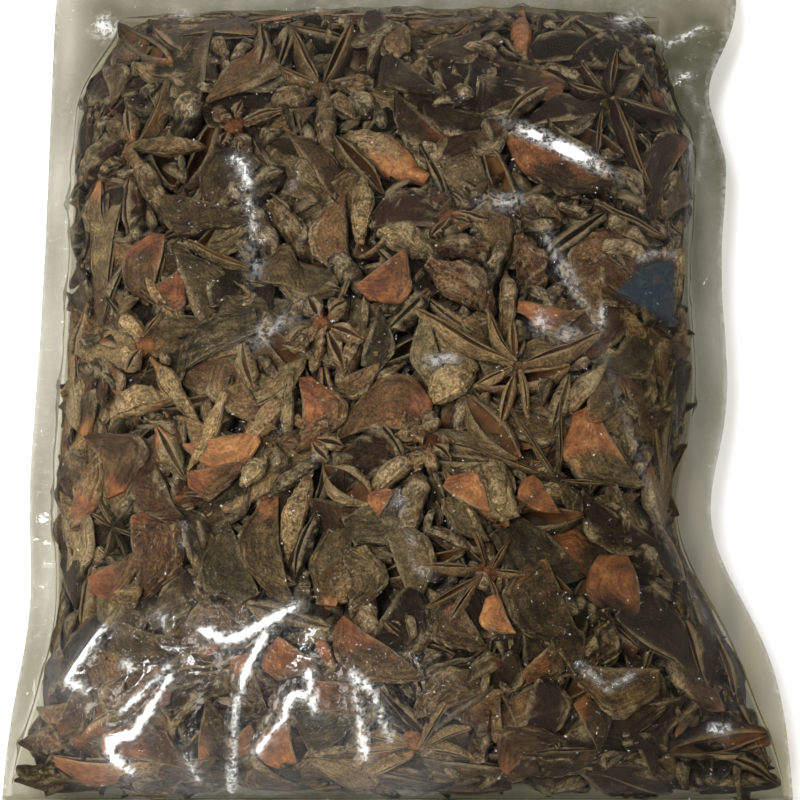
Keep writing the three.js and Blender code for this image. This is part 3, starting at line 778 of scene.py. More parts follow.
# lays one pod that is told its place, sunk below those already laid if it must be
def layNamed(passName, kind, shapes, x, y, degrees, pose, tip, deepest):
    spot, normal = filmPoint(x, y)
    direction = np.array([[math.cos(math.radians(degrees)), math.sin(math.radians(degrees)), 0.0]])
    frames = layFrames(normal[None], direction, np.array([poseAngles[pose]]), np.array([[tip, 0.0]]))
    balls, radii = follicleBalls(shapes)
    origins, world, _ = setAgainstFilm(spot[None], frames, balls, radii, normal[None])
    sink = 0.0
    if deepest > 0:
        sink = pile.sinkNeeded(origins[0] + world[0], radii[0], normal, deepest,
                               packing["namedSqueeze"], packing["namedCover"])
        sink = deepest if sink is None else sink
    origin = origins[0] - normal * sink
    claim(shapes, frames[0], origin)
    shape = {key: value[0] for key, value in shapes.items()}
    keepPod(kind, passName, shape, frames[0], origin, world[0], radii[0])


def tell(shapes, values):
    for key, value in values.items():
        shapes[key] = np.array([float(value)])


# the smallest first, so that they lie over the others
def layNamedPods():
    random = seeded("named pods")
    told = [(kind, pose, *pod) for (kind, pose), pods in namedPods.items() for pod in pods]
    for kind, pose, x, y, degrees, length, width, orange, warmth, tone in sorted(told, key=widthByLength):
        shapes = drawShapes(kind, 1, random)
        if pose in ("left", "right"):
            depth, thickness = width, np.clip(0.38 * width, 2.0, 4.0)
        else:
            depth, thickness = np.clip(0.85 * width, 2.5, 7.0), width
        tell(shapes, {"length": length, "depth": depth, "thickness": thickness, "orangeReach": orange,
                      "warmth": warmth, "tone": 0.16 + 0.82 * tone, "twist": 0.05})
        layNamed("named", kind, shapes, x, y, degrees, pose, random.normal(0, 0.04), packing["namedSink"])


hubs = []  # middle, normal, radius, orange, warmth and tone of each star's hub


# a star's arms lie round its hub, in the film's tangent plane
def layNamedStars():
    random = seeded("named stars")
    for x, y, orange, warmth, tone, arms in namedStars:
        spot, normal = filmPoint(x, y)
        hubs.append((spot - normal * 2.6, normal, 1.3 + 0.5 * orange, orange, warmth, tone))
        for kind, degrees, length, width in arms:
            form = "arm" if kind == "needle" else kind
            shapes = drawShapes(form, 1, random)
            depth = np.clip(1.1 * width, 2.6, 5.5)
            length = length * (0.85 if kind == "curl" else 1.0)
            gape = 0.35 if kind == "needle" else shapes["gape"][0]
            loose = 1.0 if kind == "curl" else 0.25  # the arms of a young star are shrivelled out of line
            curled = length * (1 + loose * random.uniform(-0.3, 0.1))
            toned = tone + loose * random.uniform(-0.25, 0.15)
            tell(shapes, {"length": curled, "depth": depth, "thickness": width, "gape": gape, "base": 0.6,
                          "warmth": warmth, "tone": toned, "orangeReach": -0.15 + 0.35 * orange,
                          "twist": loose * random.normal(0, 0.6)})
            degrees = degrees + loose * random.normal(0, 7)
            outward = np.array([math.cos(math.radians(degrees)), math.sin(math.radians(degrees)), 0.0])
            outward = outward - normal * (outward @ normal)
            armX, armY = (x, y) + outward[:2] / np.linalg.norm(outward) * (0.8 + length / 2)
            pose = "keel" if kind == "keel" else "seam"
            if kind == "curl":
                pose = random.choice(["seam", "keel", "left", "right"], p=[0.4, 0.24, 0.18, 0.18])
            tip = random.normal(-0.02, 0.03 + 0.12 * loose)
            layNamed("star", form, shapes, armX, armY, degrees, pose, tip, 0.0)


layNamedStars()
layNamedPods()
print(f"{len(laid)} pods laid by name")
packPass("top contact", "above", 15000, 1.2, 1.5, {"broad": 0.76, "keel": 0.17, "open": 0.07})
packPass("top second", "above", 8000, 2.6, 1.1, {"broad": 0.58, "keel": 0.34, "open": 0.08}, tilt=0.2)
packPass("top small", "above", 4000, 3.0, 0.9, {"broad": 0.5, "keel": 0.45, "open": 0.05}, 0.66, 0.3)
packPass("top bits", "above", 3000, 5.0, 0.7, {"broad": 0.6, "keel": 0.4}, 0.36, 0.6)
packPass("top third", "above", 6000, 9.0, 1.3, {"broad": 0.5, "keel": 0.4, "open": 0.1}, tilt=0.3)
packPass("under contact", "below", 4000, 0.3, 1.0, {"broad": 0.6, "keel": 0.28, "open": 0.12})
packPass("under second", "below", 2500, 5.0, 1.2, {"broad": 0.6, "keel": 0.3, "open": 0.1}, tilt=0.2)


# One material's nodes. Every call adds a node and gives back one of its outputs. An input, by name or by
# number, is a plain value or another node's output.
class Nodes:
    def __init__(self, tree):
        self.tree = tree
        tree.nodes.clear()

    def add(self, kind, inputs=None, output=0, **settings):
        node = self.tree.nodes.new(kind)
        for key, value in settings.items():
            setattr(node, key, value)
        for key, value in (inputs or {}).items():
            if isinstance(value, bpy.types.NodeSocket):
                self.tree.links.new(value, node.inputs[key])
            else:
                node.inputs[key].default_value = value
        return node.outputs[output] if node.outputs else None

    def place(self):
        return self.add("ShaderNodeTexCoord", output="Object")

    def attribute(self, name):
        return self.add("ShaderNodeAttribute", output="Fac", attribute_name=name)

    def maths(self, operation, first, second=0.5, third=0.0):
        return self.add("ShaderNodeMath", {0: first, 1: second, 2: third}, operation=operation)

    def times(self, first, second):
        return self.maths("MULTIPLY", first, second)

    # a value times an amount, plus another
    def raised(self, value, amount, base):
        return self.maths("MULTIPLY_ADD", value, amount, base)

    # a noise's swing about its middle, times an amount, plus another value
    def swung(self, noiseValue, amount, base):
        return self.raised(self.maths("SUBTRACT", noiseValue, 0.5), amount, base)

    # how far a value is from another
    def apart(self, value, other):
        return self.maths("ABSOLUTE", self.maths("SUBTRACT", value, other))

    # an eased step between two ranges
    def step(self, value, fromLow, fromHigh, toLow=0.0, toHigh=1.0):
        inputs = {0: value, 1: fromLow, 2: fromHigh, 3: toLow, 4: toHigh}
        return self.add("ShaderNodeMapRange", inputs, interpolation_type="SMOOTHSTEP")

    def mixed(self, factor, first, second, blend="MIX"):
        inputs = {0: factor, 6: first, 7: second}
        return self.add("ShaderNodeMix", inputs, output=2, data_type="RGBA", blend_type=blend)

    # a colour multiplied by a plain value
    def shaded(self, colour, value):
        return self.add("ShaderNodeVectorMath", {0: colour, "Scale": value}, operation="SCALE")

    def ramp(self, factor, stops):
        colour = self.add("ShaderNodeValToRGB", {0: factor}, output="Color")
        elements = colour.node.color_ramp.elements
        while len(elements) < len(stops):
            elements.new(0.5)
        for element, (position, stop) in zip(elements, stops):
            element.position = position
            element.color = (*stop, 1.0)
        return colour

    def noise(self, vector, scale, detail=4.0, roughness=0.6, distortion=0.0):
        inputs = {"Vector": vector, "Scale": scale, "Detail": detail, "Roughness": roughness,
                  "Distortion": distortion}
        return self.add("ShaderNodeTexNoise", inputs, output="Fac")

    # a noise that is longer one way than the other, in a piece's surface places
    def grain(self, surface, density, detail, roughness, distortion):
        vector = self.add("ShaderNodeMapping", {"Vector": surface, "Scale": (*density, 1.0)})
        return self.noise(vector, 1.0, detail, roughness, distortion)

    # one on the thin lines where a noise passes its middle, zero away from them
    def thinLines(self, noiseValue, width):
        return self.step(self.apart(noiseValue, 0.5), width, 0.0)

    def bump(self, height, distance, strength):
        return self.add("ShaderNodeBump", {"Height": height, "Distance": distance, "Strength": strength})

    def finish(self, surface):
        self.add("ShaderNodeOutputMaterial", {"Surface": surface})


def newMaterial(name):
    material = bpy.data.materials.new(name)
    material.use_nodes = True
    return material, Nodes(material.node_tree)


def gray(value):
    return (value, value, value)


podLook = {
    "outer": [(0.0, (0.008, 0.0065, 0.004)), (0.25, (0.024, 0.019, 0.012)), (0.5, (0.064, 0.050, 0.029)),
              (0.75, (0.135, 0.103, 0.059)), (1.0, (0.26, 0.20, 0.115))],
    "cool": (1.0, 0.985, 0.87, 1),
    "warm": (1.18, 0.93, 0.70, 1),
    "red": (0.088, 0.040, 0.024, 1),
    "redShare": 0.52,
    # painted highlight colour for the crests
    "crestHighlightColour": (0.36, 0.285, 0.175, 1),
    "facet": [(0.15, (0.034, 0.012, 0.007)), (0.40, (0.085, 0.029, 0.014)), (0.62, (0.19, 0.073, 0.027)),
              (0.9, (0.36, 0.18, 0.070))],
    "inner": [(0.3, (0.060, 0.026, 0.010)), (0.7, (0.20, 0.100, 0.036))],
    # pale lips along the seam: partly their own colour, partly painted highlight
    "lip": (0.32, 0.245, 0.145, 1),
    # painted highlight on a raised rim inside the keel's edge, and painted shade in a groove beside it
    "rim": 0.89,  # where a paler line runs inside the keel's edge, from 0 at the seam to 1 at the keel
    "groove": 0.81,
    "relief": 0.0019,  # metres
}


# The skin's relief, all from 0 to 1. Wrinkles run along the pod or across it: their noise is read in the
# pod's own surface places, swayed by another, and its middle values are raised lines.
def podRelief(nodes):
    surface = nodes.add("ShaderNodeUVMap", uv_map="surface")
    share, wrinkled = nodes.attribute("share"), nodes.attribute("wrinkled")
    place = nodes.place()
    patches = nodes.noise(place, 260.0, 6.0, 0.65)
    bend = nodes.add("ShaderNodeTexNoise", {"Vector": surface, "Scale": 2.6, "Detail": 3.0}, output="Color")
    bend = nodes.shaded(bend, 0.3)
    swayed = nodes.add("ShaderNodeVectorMath", {0: surface, 1: bend}, operation="ADD")
    lengthwise = nodes.grain(swayed, (3.4, 9.0), 6.0, 0.66, 0.4)
    crosswise = nodes.grain(swayed, (9.0, 4.2), 6.0, 0.66, 0.4)
    folds = nodes.add("ShaderNodeMix", {0: nodes.attribute("crossed"), 2: lengthwise, 3: crosswise})
    fine = nodes.grain(swayed, (11.0, 24.0), 4.0, 0.65, 0.5)
    fineLines = nodes.times(nodes.thinLines(fine, 0.060), 0.40)
    lines = nodes.maths("MAXIMUM", nodes.thinLines(folds, 0.050), fineLines)
    rough = nodes.step(wrinkled, 0.15, 0.65, 0.25, 1.0)
    patchy = nodes.step(patches, 0.34, 0.60, 0.15, 1.0)
    contrast = nodes.swung(fine, 0.55, folds)
    rimPlace = nodes.swung(lengthwise, 0.16, share)
    return {
        "patches": patches, "folds": folds, "rough": rough, "contrast": contrast,
        "lines": nodes.times(lines, nodes.times(rough, patchy)),
        "valleys": nodes.step(contrast, 0.36, 0.62),
        "rim": nodes.times(nodes.step(nodes.apart(rimPlace, podLook["rim"]), 0.030, 0.0), patchy),
        "groove": nodes.step(nodes.apart(rimPlace, podLook["groove"]), 0.05, 0.0),
        "grains": nodes.noise(place, 2100.0, 3.0, 0.7),
    }


# the outer skin: a tone from dark to pale, cool or warm, with painted shade in the valleys, hollows and
# grooves and painted highlight on the raised lines, rim and crests
def podSkin(nodes, relief):
    tone, warmth, ridge = nodes.attribute("tone"), nodes.attribute("warmth"), nodes.attribute("ridge")
    shift = nodes.swung(relief["patches"], 1.2, tone)
    colour = nodes.ramp(nodes.times(shift, 0.9), podLook["outer"])
    colour = nodes.mixed(1.0, colour, nodes.mixed(warmth, podLook["cool"], podLook["warm"]), "MULTIPLY")
    red = nodes.times(nodes.maths("POWER", warmth, 3.0), podLook["redShare"])
    colour = nodes.mixed(red, colour, podLook["red"])
    # painted shade in the wrinkles' valleys and painted highlight on their crests, stronger on rough pods
    dark = nodes.raised(relief["rough"], -0.36, 0.92)
    light = nodes.raised(relief["rough"], 0.20, 1.08)
    colour = nodes.shaded(colour, nodes.step(relief["valleys"], 0.0, 1.0, dark, light))
    # painted highlight on the raised lines of the wrinkles
    colour = nodes.shaded(colour, nodes.step(relief["lines"], 0.0, 1.0, 0.95, 1.9))
    # painted highlight on the raised rim, painted shade in the groove
    colour = nodes.shaded(colour, nodes.step(relief["rim"], 0.0, 1.0, 1.0, 1.8))
    colour = nodes.shaded(colour, nodes.step(relief["groove"], 0.0, 1.0, 1.0, 0.62))
    # painted shade: darker where the surface is hollow
    colour = nodes.shaded(colour, nodes.step(ridge, 0.0, 0.42, 0.38, 1.0))
    # painted highlight: pale colour mixed onto the outward crests, less in the valleys
    crestHighlight = nodes.times(nodes.step(ridge, 0.58, 1.0), nodes.step(relief["valleys"], 0.0, 1.0, 0.15, 0.8))
    colour = nodes.mixed(crestHighlight, colour, podLook["crestHighlightColour"])
    return nodes.shaded(colour, nodes.step(relief["grains"], 0.32, 0.68, 0.60, 1.50))


# the smooth orange facet by the seam, and how much of it shows: its edge is ragged
def podFacet(nodes, relief):
    tone, warmth, orange = nodes.attribute("tone"), nodes.attribute("warmth"), nodes.attribute("orange")
    facetTone = nodes.swung(relief["folds"], 0.35, relief["patches"])
    facetTone = nodes.raised(orange, 0.30, nodes.maths("SUBTRACT", facetTone, 0.12))
    facetTone = nodes.raised(warmth, -0.22, nodes.maths("ADD", facetTone, 0.02))
    facet = nodes.ramp(facetTone, podLook["facet"])
    # painted shade in the valleys and painted highlight on the crests; then the tone, which carries the pods'
    # painted shade by place and depth
    facet = nodes.shaded(facet, nodes.step(relief["valleys"], 0.0, 1.0, 0.84, 1.14))
    facet = nodes.shaded(facet, nodes.step(tone, -0.2, 0.9, 0.42, 1.05))
    facet = nodes.shaded(facet, nodes.step(relief["grains"], 0.32, 0.68, 0.80, 1.24))
    share = nodes.swung(relief["folds"], 0.8, nodes.swung(relief["grains"], 0.6, orange))
    return facet, nodes.step(share, 0.15, 1.05, 0.0, 0.92)


def podMaterial():
    material, nodes = newMaterial("dried pod")
    relief = podRelief(nodes)
    inner, lip, wrinkled = nodes.attribute("inner"), nodes.attribute("lip"), nodes.attribute("wrinkled")
    facet, facetShare = podFacet(nodes, relief)
    colour = nodes.mixed(facetShare, podSkin(nodes, relief), facet)
    lining = nodes.ramp(relief["patches"], podLook["inner"])
    colour = nodes.mixed(inner, colour, nodes.shaded(lining, nodes.step(wrinkled, 0.2, 0.6, 0.8, 0.3)))
    # pale lips along the seam: partly their own colour, partly painted highlight
    lipShare = nodes.times(lip, nodes.step(relief["grains"], 0.3, 0.6, 0.35, 1.0))
    colour = nodes.mixed(lipShare, colour, podLook["lip"])
    calm = nodes.raised(nodes.maths("MAXIMUM", inner, facetShare), -0.6, 1.0)
    height = nodes.raised(relief["grains"], 0.34, relief["contrast"])
    height = nodes.raised(relief["lines"], 0.15, height)
    height = nodes.raised(nodes.maths("SUBTRACT", relief["rim"], relief["groove"]), 0.2, height)
    nodes.finish(nodes.add("ShaderNodeBsdfPrincipled", {
        "Base Color": colour, "Roughness": nodes.step(calm, 0.3, 1.0, 0.42, 0.66),
        "Normal": nodes.bump(height, podLook["relief"], calm), "Specular IOR Level": 0.12}))
    return material


filmLook = {
    "through": [(0.0, (0.97, 0.96, 0.925)), (0.36, (0.71, 0.675, 0.56)), (0.5, (0.69, 0.675, 0.62)),
                (1.0, (0.44, 0.43, 0.35))],  # by how hazy it is
    "glareVeil": (0.90, 0.90, 0.87, 1),
    # painted reflection: the dull blue of one patch on the film
    "reflectedBlue": (0.020, 0.031, 0.040, 1),
    "mirrorLimit": 0.18,
    "roughness": 0.08,
}


# Clear film: what passes through is tinted where it is hazy, creases are whitened partly by their own white
# and partly with painted glare, painted glints lie in specks, a dull blue painted reflection lies in one
# patch, and a mirror that grows towards grazing angles lies over all of these, strongest where the film is
# folded.
def filmMaterial():
    material, nodes = newMaterial("clear film")
    place, creaseWhiteAndGlare, shine = nodes.place(), nodes.attribute("creaseWhiteAndGlare"), nodes.attribute("shine")
    clear = nodes.ramp(nodes.attribute("haze"), filmLook["through"])
    crackle = nodes.thinLines(nodes.noise(place, 420.0, 3.0, 0.6), 0.06)
    ripples = nodes.times(nodes.raised(crackle, 0.4, nodes.noise(place, 260.0, 3.0, 0.5)), shine)
    bump = nodes.bump(ripples, 0.0006, 0.7)
    frayed = nodes.step(nodes.noise(place, 1000.0, 4.0, 0.75), 0.42, 0.58, 0.08, 1.0)
    frayed = nodes.maths("MAXIMUM", frayed, nodes.step(creaseWhiteAndGlare, 0.45, 0.8))
    # painted glints: sparse white specks on the film
    paintedGlints = nodes.step(nodes.noise(place, 1300.0, 3.0, 0.6), 0.665, 0.73, 0.0, 0.40)
    paintedGlints = nodes.times(paintedGlints, nodes.step(nodes.noise(place, 90.0, 2.0), 0.42, 0.58))
    whitenedAndGlare = nodes.maths("MAXIMUM", nodes.times(creaseWhiteAndGlare, frayed), paintedGlints)
    through = nodes.add("ShaderNodeBsdfTransparent", {"Color": clear})
    glareVeil = nodes.add("ShaderNodeBsdfDiffuse", {"Color": filmLook["glareVeil"]})
    body = nodes.add("ShaderNodeMixShader", {0: whitenedAndGlare, 1: through, 2: glareVeil})
    reflectedBlue = nodes.add("ShaderNodeBsdfDiffuse", {"Color": filmLook["reflectedBlue"]})
    # painted reflection: a dull blue patch mixed over the film
    body = nodes.add("ShaderNodeMixShader", {0: nodes.attribute("blueReflection"), 1: body, 2: reflectedBlue})
    mirror = nodes.add("ShaderNodeBsdfGlossy", {"Roughness": filmLook["roughness"], "Normal": bump,
                                                "Color": (1, 1, 1, 1)})
    edge = nodes.add("ShaderNodeFresnel", {"IOR": 1.5, "Normal": bump})
    edge = nodes.times(nodes.maths("MINIMUM", edge, filmLook["mirrorLimit"]), shine)
    nodes.finish(nodes.add("ShaderNodeMixShader", {0: edge, 1: body, 2: mirror}))
    return material


# painted shade: the hidden core stands for the deeper pods, coloured far darker than a pod so that gaps into
# it read as shade
def coreMaterial():
    material, nodes = newMaterial("pods out of sight in painted shade")
    patches = nodes.noise(nodes.place(), 300.0, 6.0, 0.7)
    colour = nodes.ramp(patches, [(0.3, (0.010, 0.008, 0.006)), (0.7, (0.045, 0.028, 0.017))])
    nodes.finish(nodes.add("ShaderNodeBsdfPrincipled", {
        "Base Color": colour, "Roughness": 0.8, "Normal": nodes.bump(patches, 0.001, 0.8)}))
    return material


podMat, filmMat, coreMat = podMaterial(), filmMaterial(), coreMaterial()
pieces = []
podPoints = []  # what the film is drawn over


def buildPods(name, chosen, rings, outer, inner):
    shapes = {key: np.array([pod["shape"][key] for pod in chosen]) for key in chosen[0]["shape"]}
    points, looks, uv = follicleForms(shapes, rings, outer, inner)
    frames = np.array([pod["frame"] for pod in chosen])
    origins = np.array([pod["origin"] for pod in chosen])
    world = np.einsum("nij,nuvj->nuvi", frames, points) + origins[:, None, None, :]
    world[..., 2] = np.maximum(world[..., 2], 0.3)
    quads = ringQuads(len(chosen), rings, outer + inner)
    podPoints.append(world.reshape(len(chosen), -1, 3))
    pieces.append(makePiece(name, world, quads, podMat, looks, uv))


def podsOf(kinds, passes):
    return [pod for pod in laid if pod["kind"] in kinds and pod["pass"] in passes]


# hubs: balls flattened along the film's normal, with knobs
def buildHubs():
    rings, around = 12, 16
    polar = np.linspace(0, np.pi, rings)[None, :, None]
    turn = (np.arange(around) * 2 * np.pi / around)[None, None, :]
    middles = np.array([hub[0] for hub in hubs])[:, None, None, :]
    normals = np.array([hub[1] for hub in hubs])[:, None, None, :]
    radius, orange, warmth, tone = (np.array([hub[i] for hub in hubs])[:, None, None] for i in (2, 3, 4, 5))
    aside, up = np.sin(polar), np.cos(polar) + 0 * turn
    unit = np.stack([aside * np.cos(turn), aside * np.sin(turn), up], -1)
    unit = np.broadcast_to(unit, (len(hubs), rings, around, 3))
    knobs = ridged(unit * 3.0 + middles, 1.6, 31)
    local = unit * (radius * (0.7 + 0.6 * knobs))[..., None]
    local = local - normals * (local * normals).sum(-1, keepdims=True) * 0.35
    points = middles + local
    flat = 0 * points[..., 0]
    looks = {
        "orange": orange + flat, "tone": tone + flat, "warmth": warmth + flat, "ridge": knobs * 0.8,
        "wrinkled": 0.8 + flat, "share": 0.5 + flat, "lip": flat, "inner": flat, "crossed": flat,
    }
    uv = np.stack([polar + flat, turn + flat], -1)
    quads = ringQuads(len(hubs), rings, around)[:, ::-1]
    pieces.append(makePiece("star_hubs", points, quads, podMat, looks, uv))


anyKind = ["broad", "keel", "open"]
buildPods("star_arms", podsOf(["arm", "keel"], ["star"]), 28, 17, 6)
buildPods("curled_arms", podsOf(["curl"], ["star"]), 24, 15, 3)
buildHubs()
buildPods("large_half_moons", podsOf(["broad"], ["named"]), 32, 21, 3)
buildPods("barky_pods", podsOf(["keel", "curl", "arm"], ["named"]), 34, 17, 3)
buildPods("half_moons", podsOf(["broad"], ["top contact"]), 16, 11, 3)
buildPods("wrinkled_pods", podsOf(["keel"], ["top contact", "top second"]), 18, 12, 3)
buildPods("split_pods", podsOf(["open"], ["named", "top contact", "top second"]), 20, 15, 7)
buildPods("tucked_half_moons", podsOf(["broad"], ["top second"]), 17, 12, 3)
buildPods("small_pods", podsOf(anyKind, ["top small"]), 14, 10, 3)
buildPods("broken_bits", podsOf(anyKind, ["top bits"]), 8, 5, 2)
buildPods("deep_pods", podsOf(anyKind, ["top third"]), 9, 6, 2)
buildPods("under_pods", podsOf(anyKind, ["under contact", "under second"]), 10, 7, 2)


# one closed surface from two grids: the upper, the lower turned over, and a strip round their edge
def closedSheets(upper, lower):
    rows, columns = upper.shape[:2]
    number = np.arange(rows * columns).reshape(rows, columns)
    quads = np.stack([number[:-1, :-1], number[:-1, 1:], number[1:, 1:], number[1:, :-1]], -1).reshape(-1, 4)
    under = quads[:, ::-1] + rows * columns
    rim = np.concatenate([number[0, :-1], number[:-1, -1], number[-1, :0:-1], number[:0:-1, 0]])
    after = np.roll(rim, -1)
    band = np.stack([rim + rows * columns, after + rows * columns, after, rim], -1)
    points = np.concatenate([upper.reshape(-1, 3), lower.reshape(-1, 3)])
    return points, np.concatenate([quads, under, band])


# both nominal sheets drawn in by a depth along their normals, with bumps, and closed at the outline
def makeCore():
    step, inward = 3, 8.5
    x, y = filmX[::step, ::step], filmY[::step, ::step]
    across, along = heapPlace(x, y)
    inHeap = (np.abs(across) < 0.97) & (np.abs(along) < 0.97)
    rows, columns = inHeap.any(1), inHeap.any(0)
    sheets = []
    for z, normal in ((upperZ, upperNormal), (lowerZ, lowerNormal)):
        away = normal[::step, ::step]
        points = (np.stack([x, y, z[::step, ::step]], -1) - inward * away)[rows][:, columns]
        bumps = 3.0 * (noise(points, 6.0, 9)[..., None] - 0.5)
        sheets.append(points + away[rows][:, columns] * bumps)
    upper, lower = sheets
    lower = lower.copy()
    lower[..., 2] = np.clip(lower[..., 2], 1.0, upper[..., 2] - 0.5)
    return closedSheets(upper, lower)


corePoints, coreQuads = makeCore()
pieces.append(makePiece("core", corePoints, coreQuads, coreMat))

film = {
    "margin": 0.22, "dot": 1.0,  # how far it lies off the pods, and the ball that each of their points is
    "load": 0.004, "rounds": 260, "deepest": 3.0, "highest": 1.4,
    "shine": (0.09, 0.65), "underShine": 0.3,  # flat and folded, and the lower film's
    "rimHighlight": 0.22, "blueReflection": 0.62,
}
# Where the film is crumpled: middle, half length, half width and how high its folds stand.
crumples = [
    (-34, -76, 36, 19, 0.65), (-2, -80, 18, 14, 0.6), (0, 83, 80, 14, 1.5), (52, -70, 14, 16, 0.3),
    (63, 15, 6, 60, 1.2), (-67, 0, 4, 75, 0.8),
]
# Sharp folds in the film, whitened along their crests, partly the creased film's own white and partly painted
# glare: height, half width, whiteness and the places that they pass.
sharpFolds = [
    (1.3, 1.1, 0.75, [(-52, -64), (-57, -71), (-58, -73), (-54, -75)]),
    (1.4, 1.2, 0.95, [(-34, -65), (-30, -67), (-27, -66), (-18, -61.5)]),
    (1.3, 0.9, 0.95, [(-23, -66), (-26, -71), (-27, -74)]),
    (1.1, 0.6, 0.70, [(-27, -74), (-28.5, -79), (-29.5, -90)]),
    (1.2, 0.8, 0.70, [(-40, -71), (-44, -75), (-48, -78.5)]),
    (1.4, 1.2, 0.95, [(-40, -73), (-43, -78), (-46, -82), (-50.5, -83), (-50, -85.5), (-47, -87.5)]),
    (1.1, 0.8, 0.60, [(-37, -85.5), (-35, -88.5)]),
    (1.2, 1.0, 0.85, [(-24.5, -84.5), (-20, -80), (-18.5, -76), (-16, -76), (-14, -79)]),
    (1.2, 1.2, 0.80, [(-15.5, -72.5), (-14, -77.5)]),
    (1.1, 1.0, 0.65, [(-8, -73), (-4.5, -75.5), (-2.5, -80.5), (-1, -83)]),
    (1.1, 1.1, 0.70, [(-7, -76.5), (-5.5, -85.5)]),
    (0.9, 0.7, 0.60, [(-42.5, -62), (-41, -63)]),
    (0.9, 0.8, 0.60, [(-48, -70.5), (-46.5, -71.5)]),
    (0.9, 0.9, 0.75, [(-31.5, 28), (-29.5, 26.5), (-28.5, 22)]),
    (0.8, 0.9, 0.45, [(-28.5, 19), (-27, 13)]),
    (0.7, 0.6, 0.25, [(28, 12), (30.5, 5.5), (36, -2.5)]),
    (0.5, 0.5, 0.22, [(45.5, 8.2), (50, 10.8), (54, 11.8)]),
    (0.3, 0.6, 0.06, [(36, -2.5), (38.5, -11.5), (41.5, -24), (44, -31), (48, -45), (57, -63.5)]),
    (0.9, 0.5, 0.26, [(32, -71), (37, -75), (41.5, -72.5)]),
    (0.8, 0.7, 0.50, [(55.5, -81), (58.5, -81)]),
    (1.2, 0.8, 0.55, [(51.5, 62), (58, 65.5), (64, 68.5)]),
    (0.8, 1.2, 0.80, [(57.5, 57), (59, 57)]),
    (0.8, 0.6, 0.12, [(58, 57), (63, 47), (61, 34)]),
]
# Milky patches of painted glare: where, half length, half width, direction in degrees and strength.
glareSmears = [
    (-24, -8, 6.0, 2.6, 35, 0.22), (-27, 8, 2.0, 5.0, 0, 0.20), (8, -14, 3.4, 1.3, 5, 0.34),
    (20, 19, 4.4, 1.8, 0, 0.28), (32, 6, 1.2, 6.0, 28, 0.20), (38, -4, 2.0, 2.6, 0, 0.38),
    (27, -6, 1.8, 2.6, 0, 0.34), (32, -8, 2.6, 2.0, 0, 0.16), (-30, 25, 1.4, 5.0, -4, 0.18),
    (31.5, 30.5, 8.5, 1.3, -29, 1.8), (-61, 69, 2.5, 3.0, 0, 0.8), (-45, 70, 3.5, 3.0, 0, 0.5),
    (-16, 71, 4.0, 1.6, 0, 0.7), (48, 68, 2.4, 4.5, -30, 0.8), (0, 80, 80.0, 9.0, 0, 0.10),
]
# painted reflection: a dull blue patch on the film, its corners given anticlockwise
blueReflectionPatch = [(40.5, 1.0), (54.0, -4.5), (54.0, 11.5), (46.5, 7.8)]  # a dull blue pocket, anticlockwise
foldLine = [(36, 4), (44, -30), (57, -63), (64, -90)]  # where the hazier film begins, at the right


# How high the pods stand against the film's normals: each pod point is a small ball that lifts the film.
def podSupport(points, normals):
    flatPoints, flatNormals = points.reshape(-1, 3), normals.reshape(-1, 3)
    support = np.full(len(flatPoints), -film["deepest"])
    for pods in podPoints:
        lows, highs = pods.min(1) - 1.5, pods.max(1) + 1.5
        for pod, low, high in zip(pods, lows, highs):
            near = np.nonzero(np.all((flatPoints > low - 2.0) & (flatPoints < high + 2.0), 1))[0]
            if len(near) == 0:
                continue
            between = pod[None] - flatPoints[near][:, None]
            along = np.einsum("vpi,vi->vp", between, flatNormals[near])
            aside = (between * between).sum(-1) - along * along
            lift = along + np.sqrt(np.maximum(film["dot"] ** 2 - aside, 0)) - film["dot"] + film["margin"]
            lift = np.where(aside < film["dot"] ** 2, lift, -film["deepest"])
            support[near] = np.maximum(support[near], lift.max(1))
    return support.reshape(points.shape[:2])


# a taut skin over the pods: each place takes the mean of its neighbours, less a small load, but no less
# than what holds it up
def tautSkin(support, held):
    height = np.zeros(held.shape)
    for _ in range(film["rounds"]):
        endwise = np.roll(height, 1, 0) + np.roll(height, -1, 0)
        mean = 0.25 * (endwise + np.roll(height, 1, 1) + np.roll(height, -1, 1))
        height = np.where(held, 0.0, np.maximum(support, mean - film["load"]))
    return height


# distance of places from a segment
def fromSegment(x, y, start, end):
    dx, dy = end[0] - start[0], end[1] - start[1]
    share = np.clip(((x - start[0]) * dx + (y - start[1]) * dy) / (dx * dx + dy * dy), 0, 1)
    return np.hypot(x - start[0] - dx * share, y - start[1] - dy * share)


# distance of places from a chain of segments
def fromChain(x, y, chain):
    return np.min([fromSegment(x, y, start, end) for start, end in zip(chain[:-1], chain[1:])], axis=0)


# how far places lie inside a convex outline given anticlockwise
def insideOutline(x, y, corners):
    depths = []
    for start, end in zip(corners, corners[1:] + corners[:1]):
        dx, dy = end[0] - start[0], end[1] - start[1]
        depths.append(((y - start[1]) * dx - (x - start[0]) * dy) / math.hypot(dx, dy))
    return np.min(depths, axis=0)


# how high the film stands where it is crumpled, as a share of its crests: at most each patch's height
def crumpledShare(x, y):
    crumpled = 0.03 + 0 * x
    for middleX, middleY, halfLong, halfWide, height in crumples:
        reach = np.hypot((x - middleX) / halfLong, (y - middleY) / halfWide)
        crumpled = np.maximum(crumpled, height * smooth(1.15, 0.75, reach))
    return crumpled


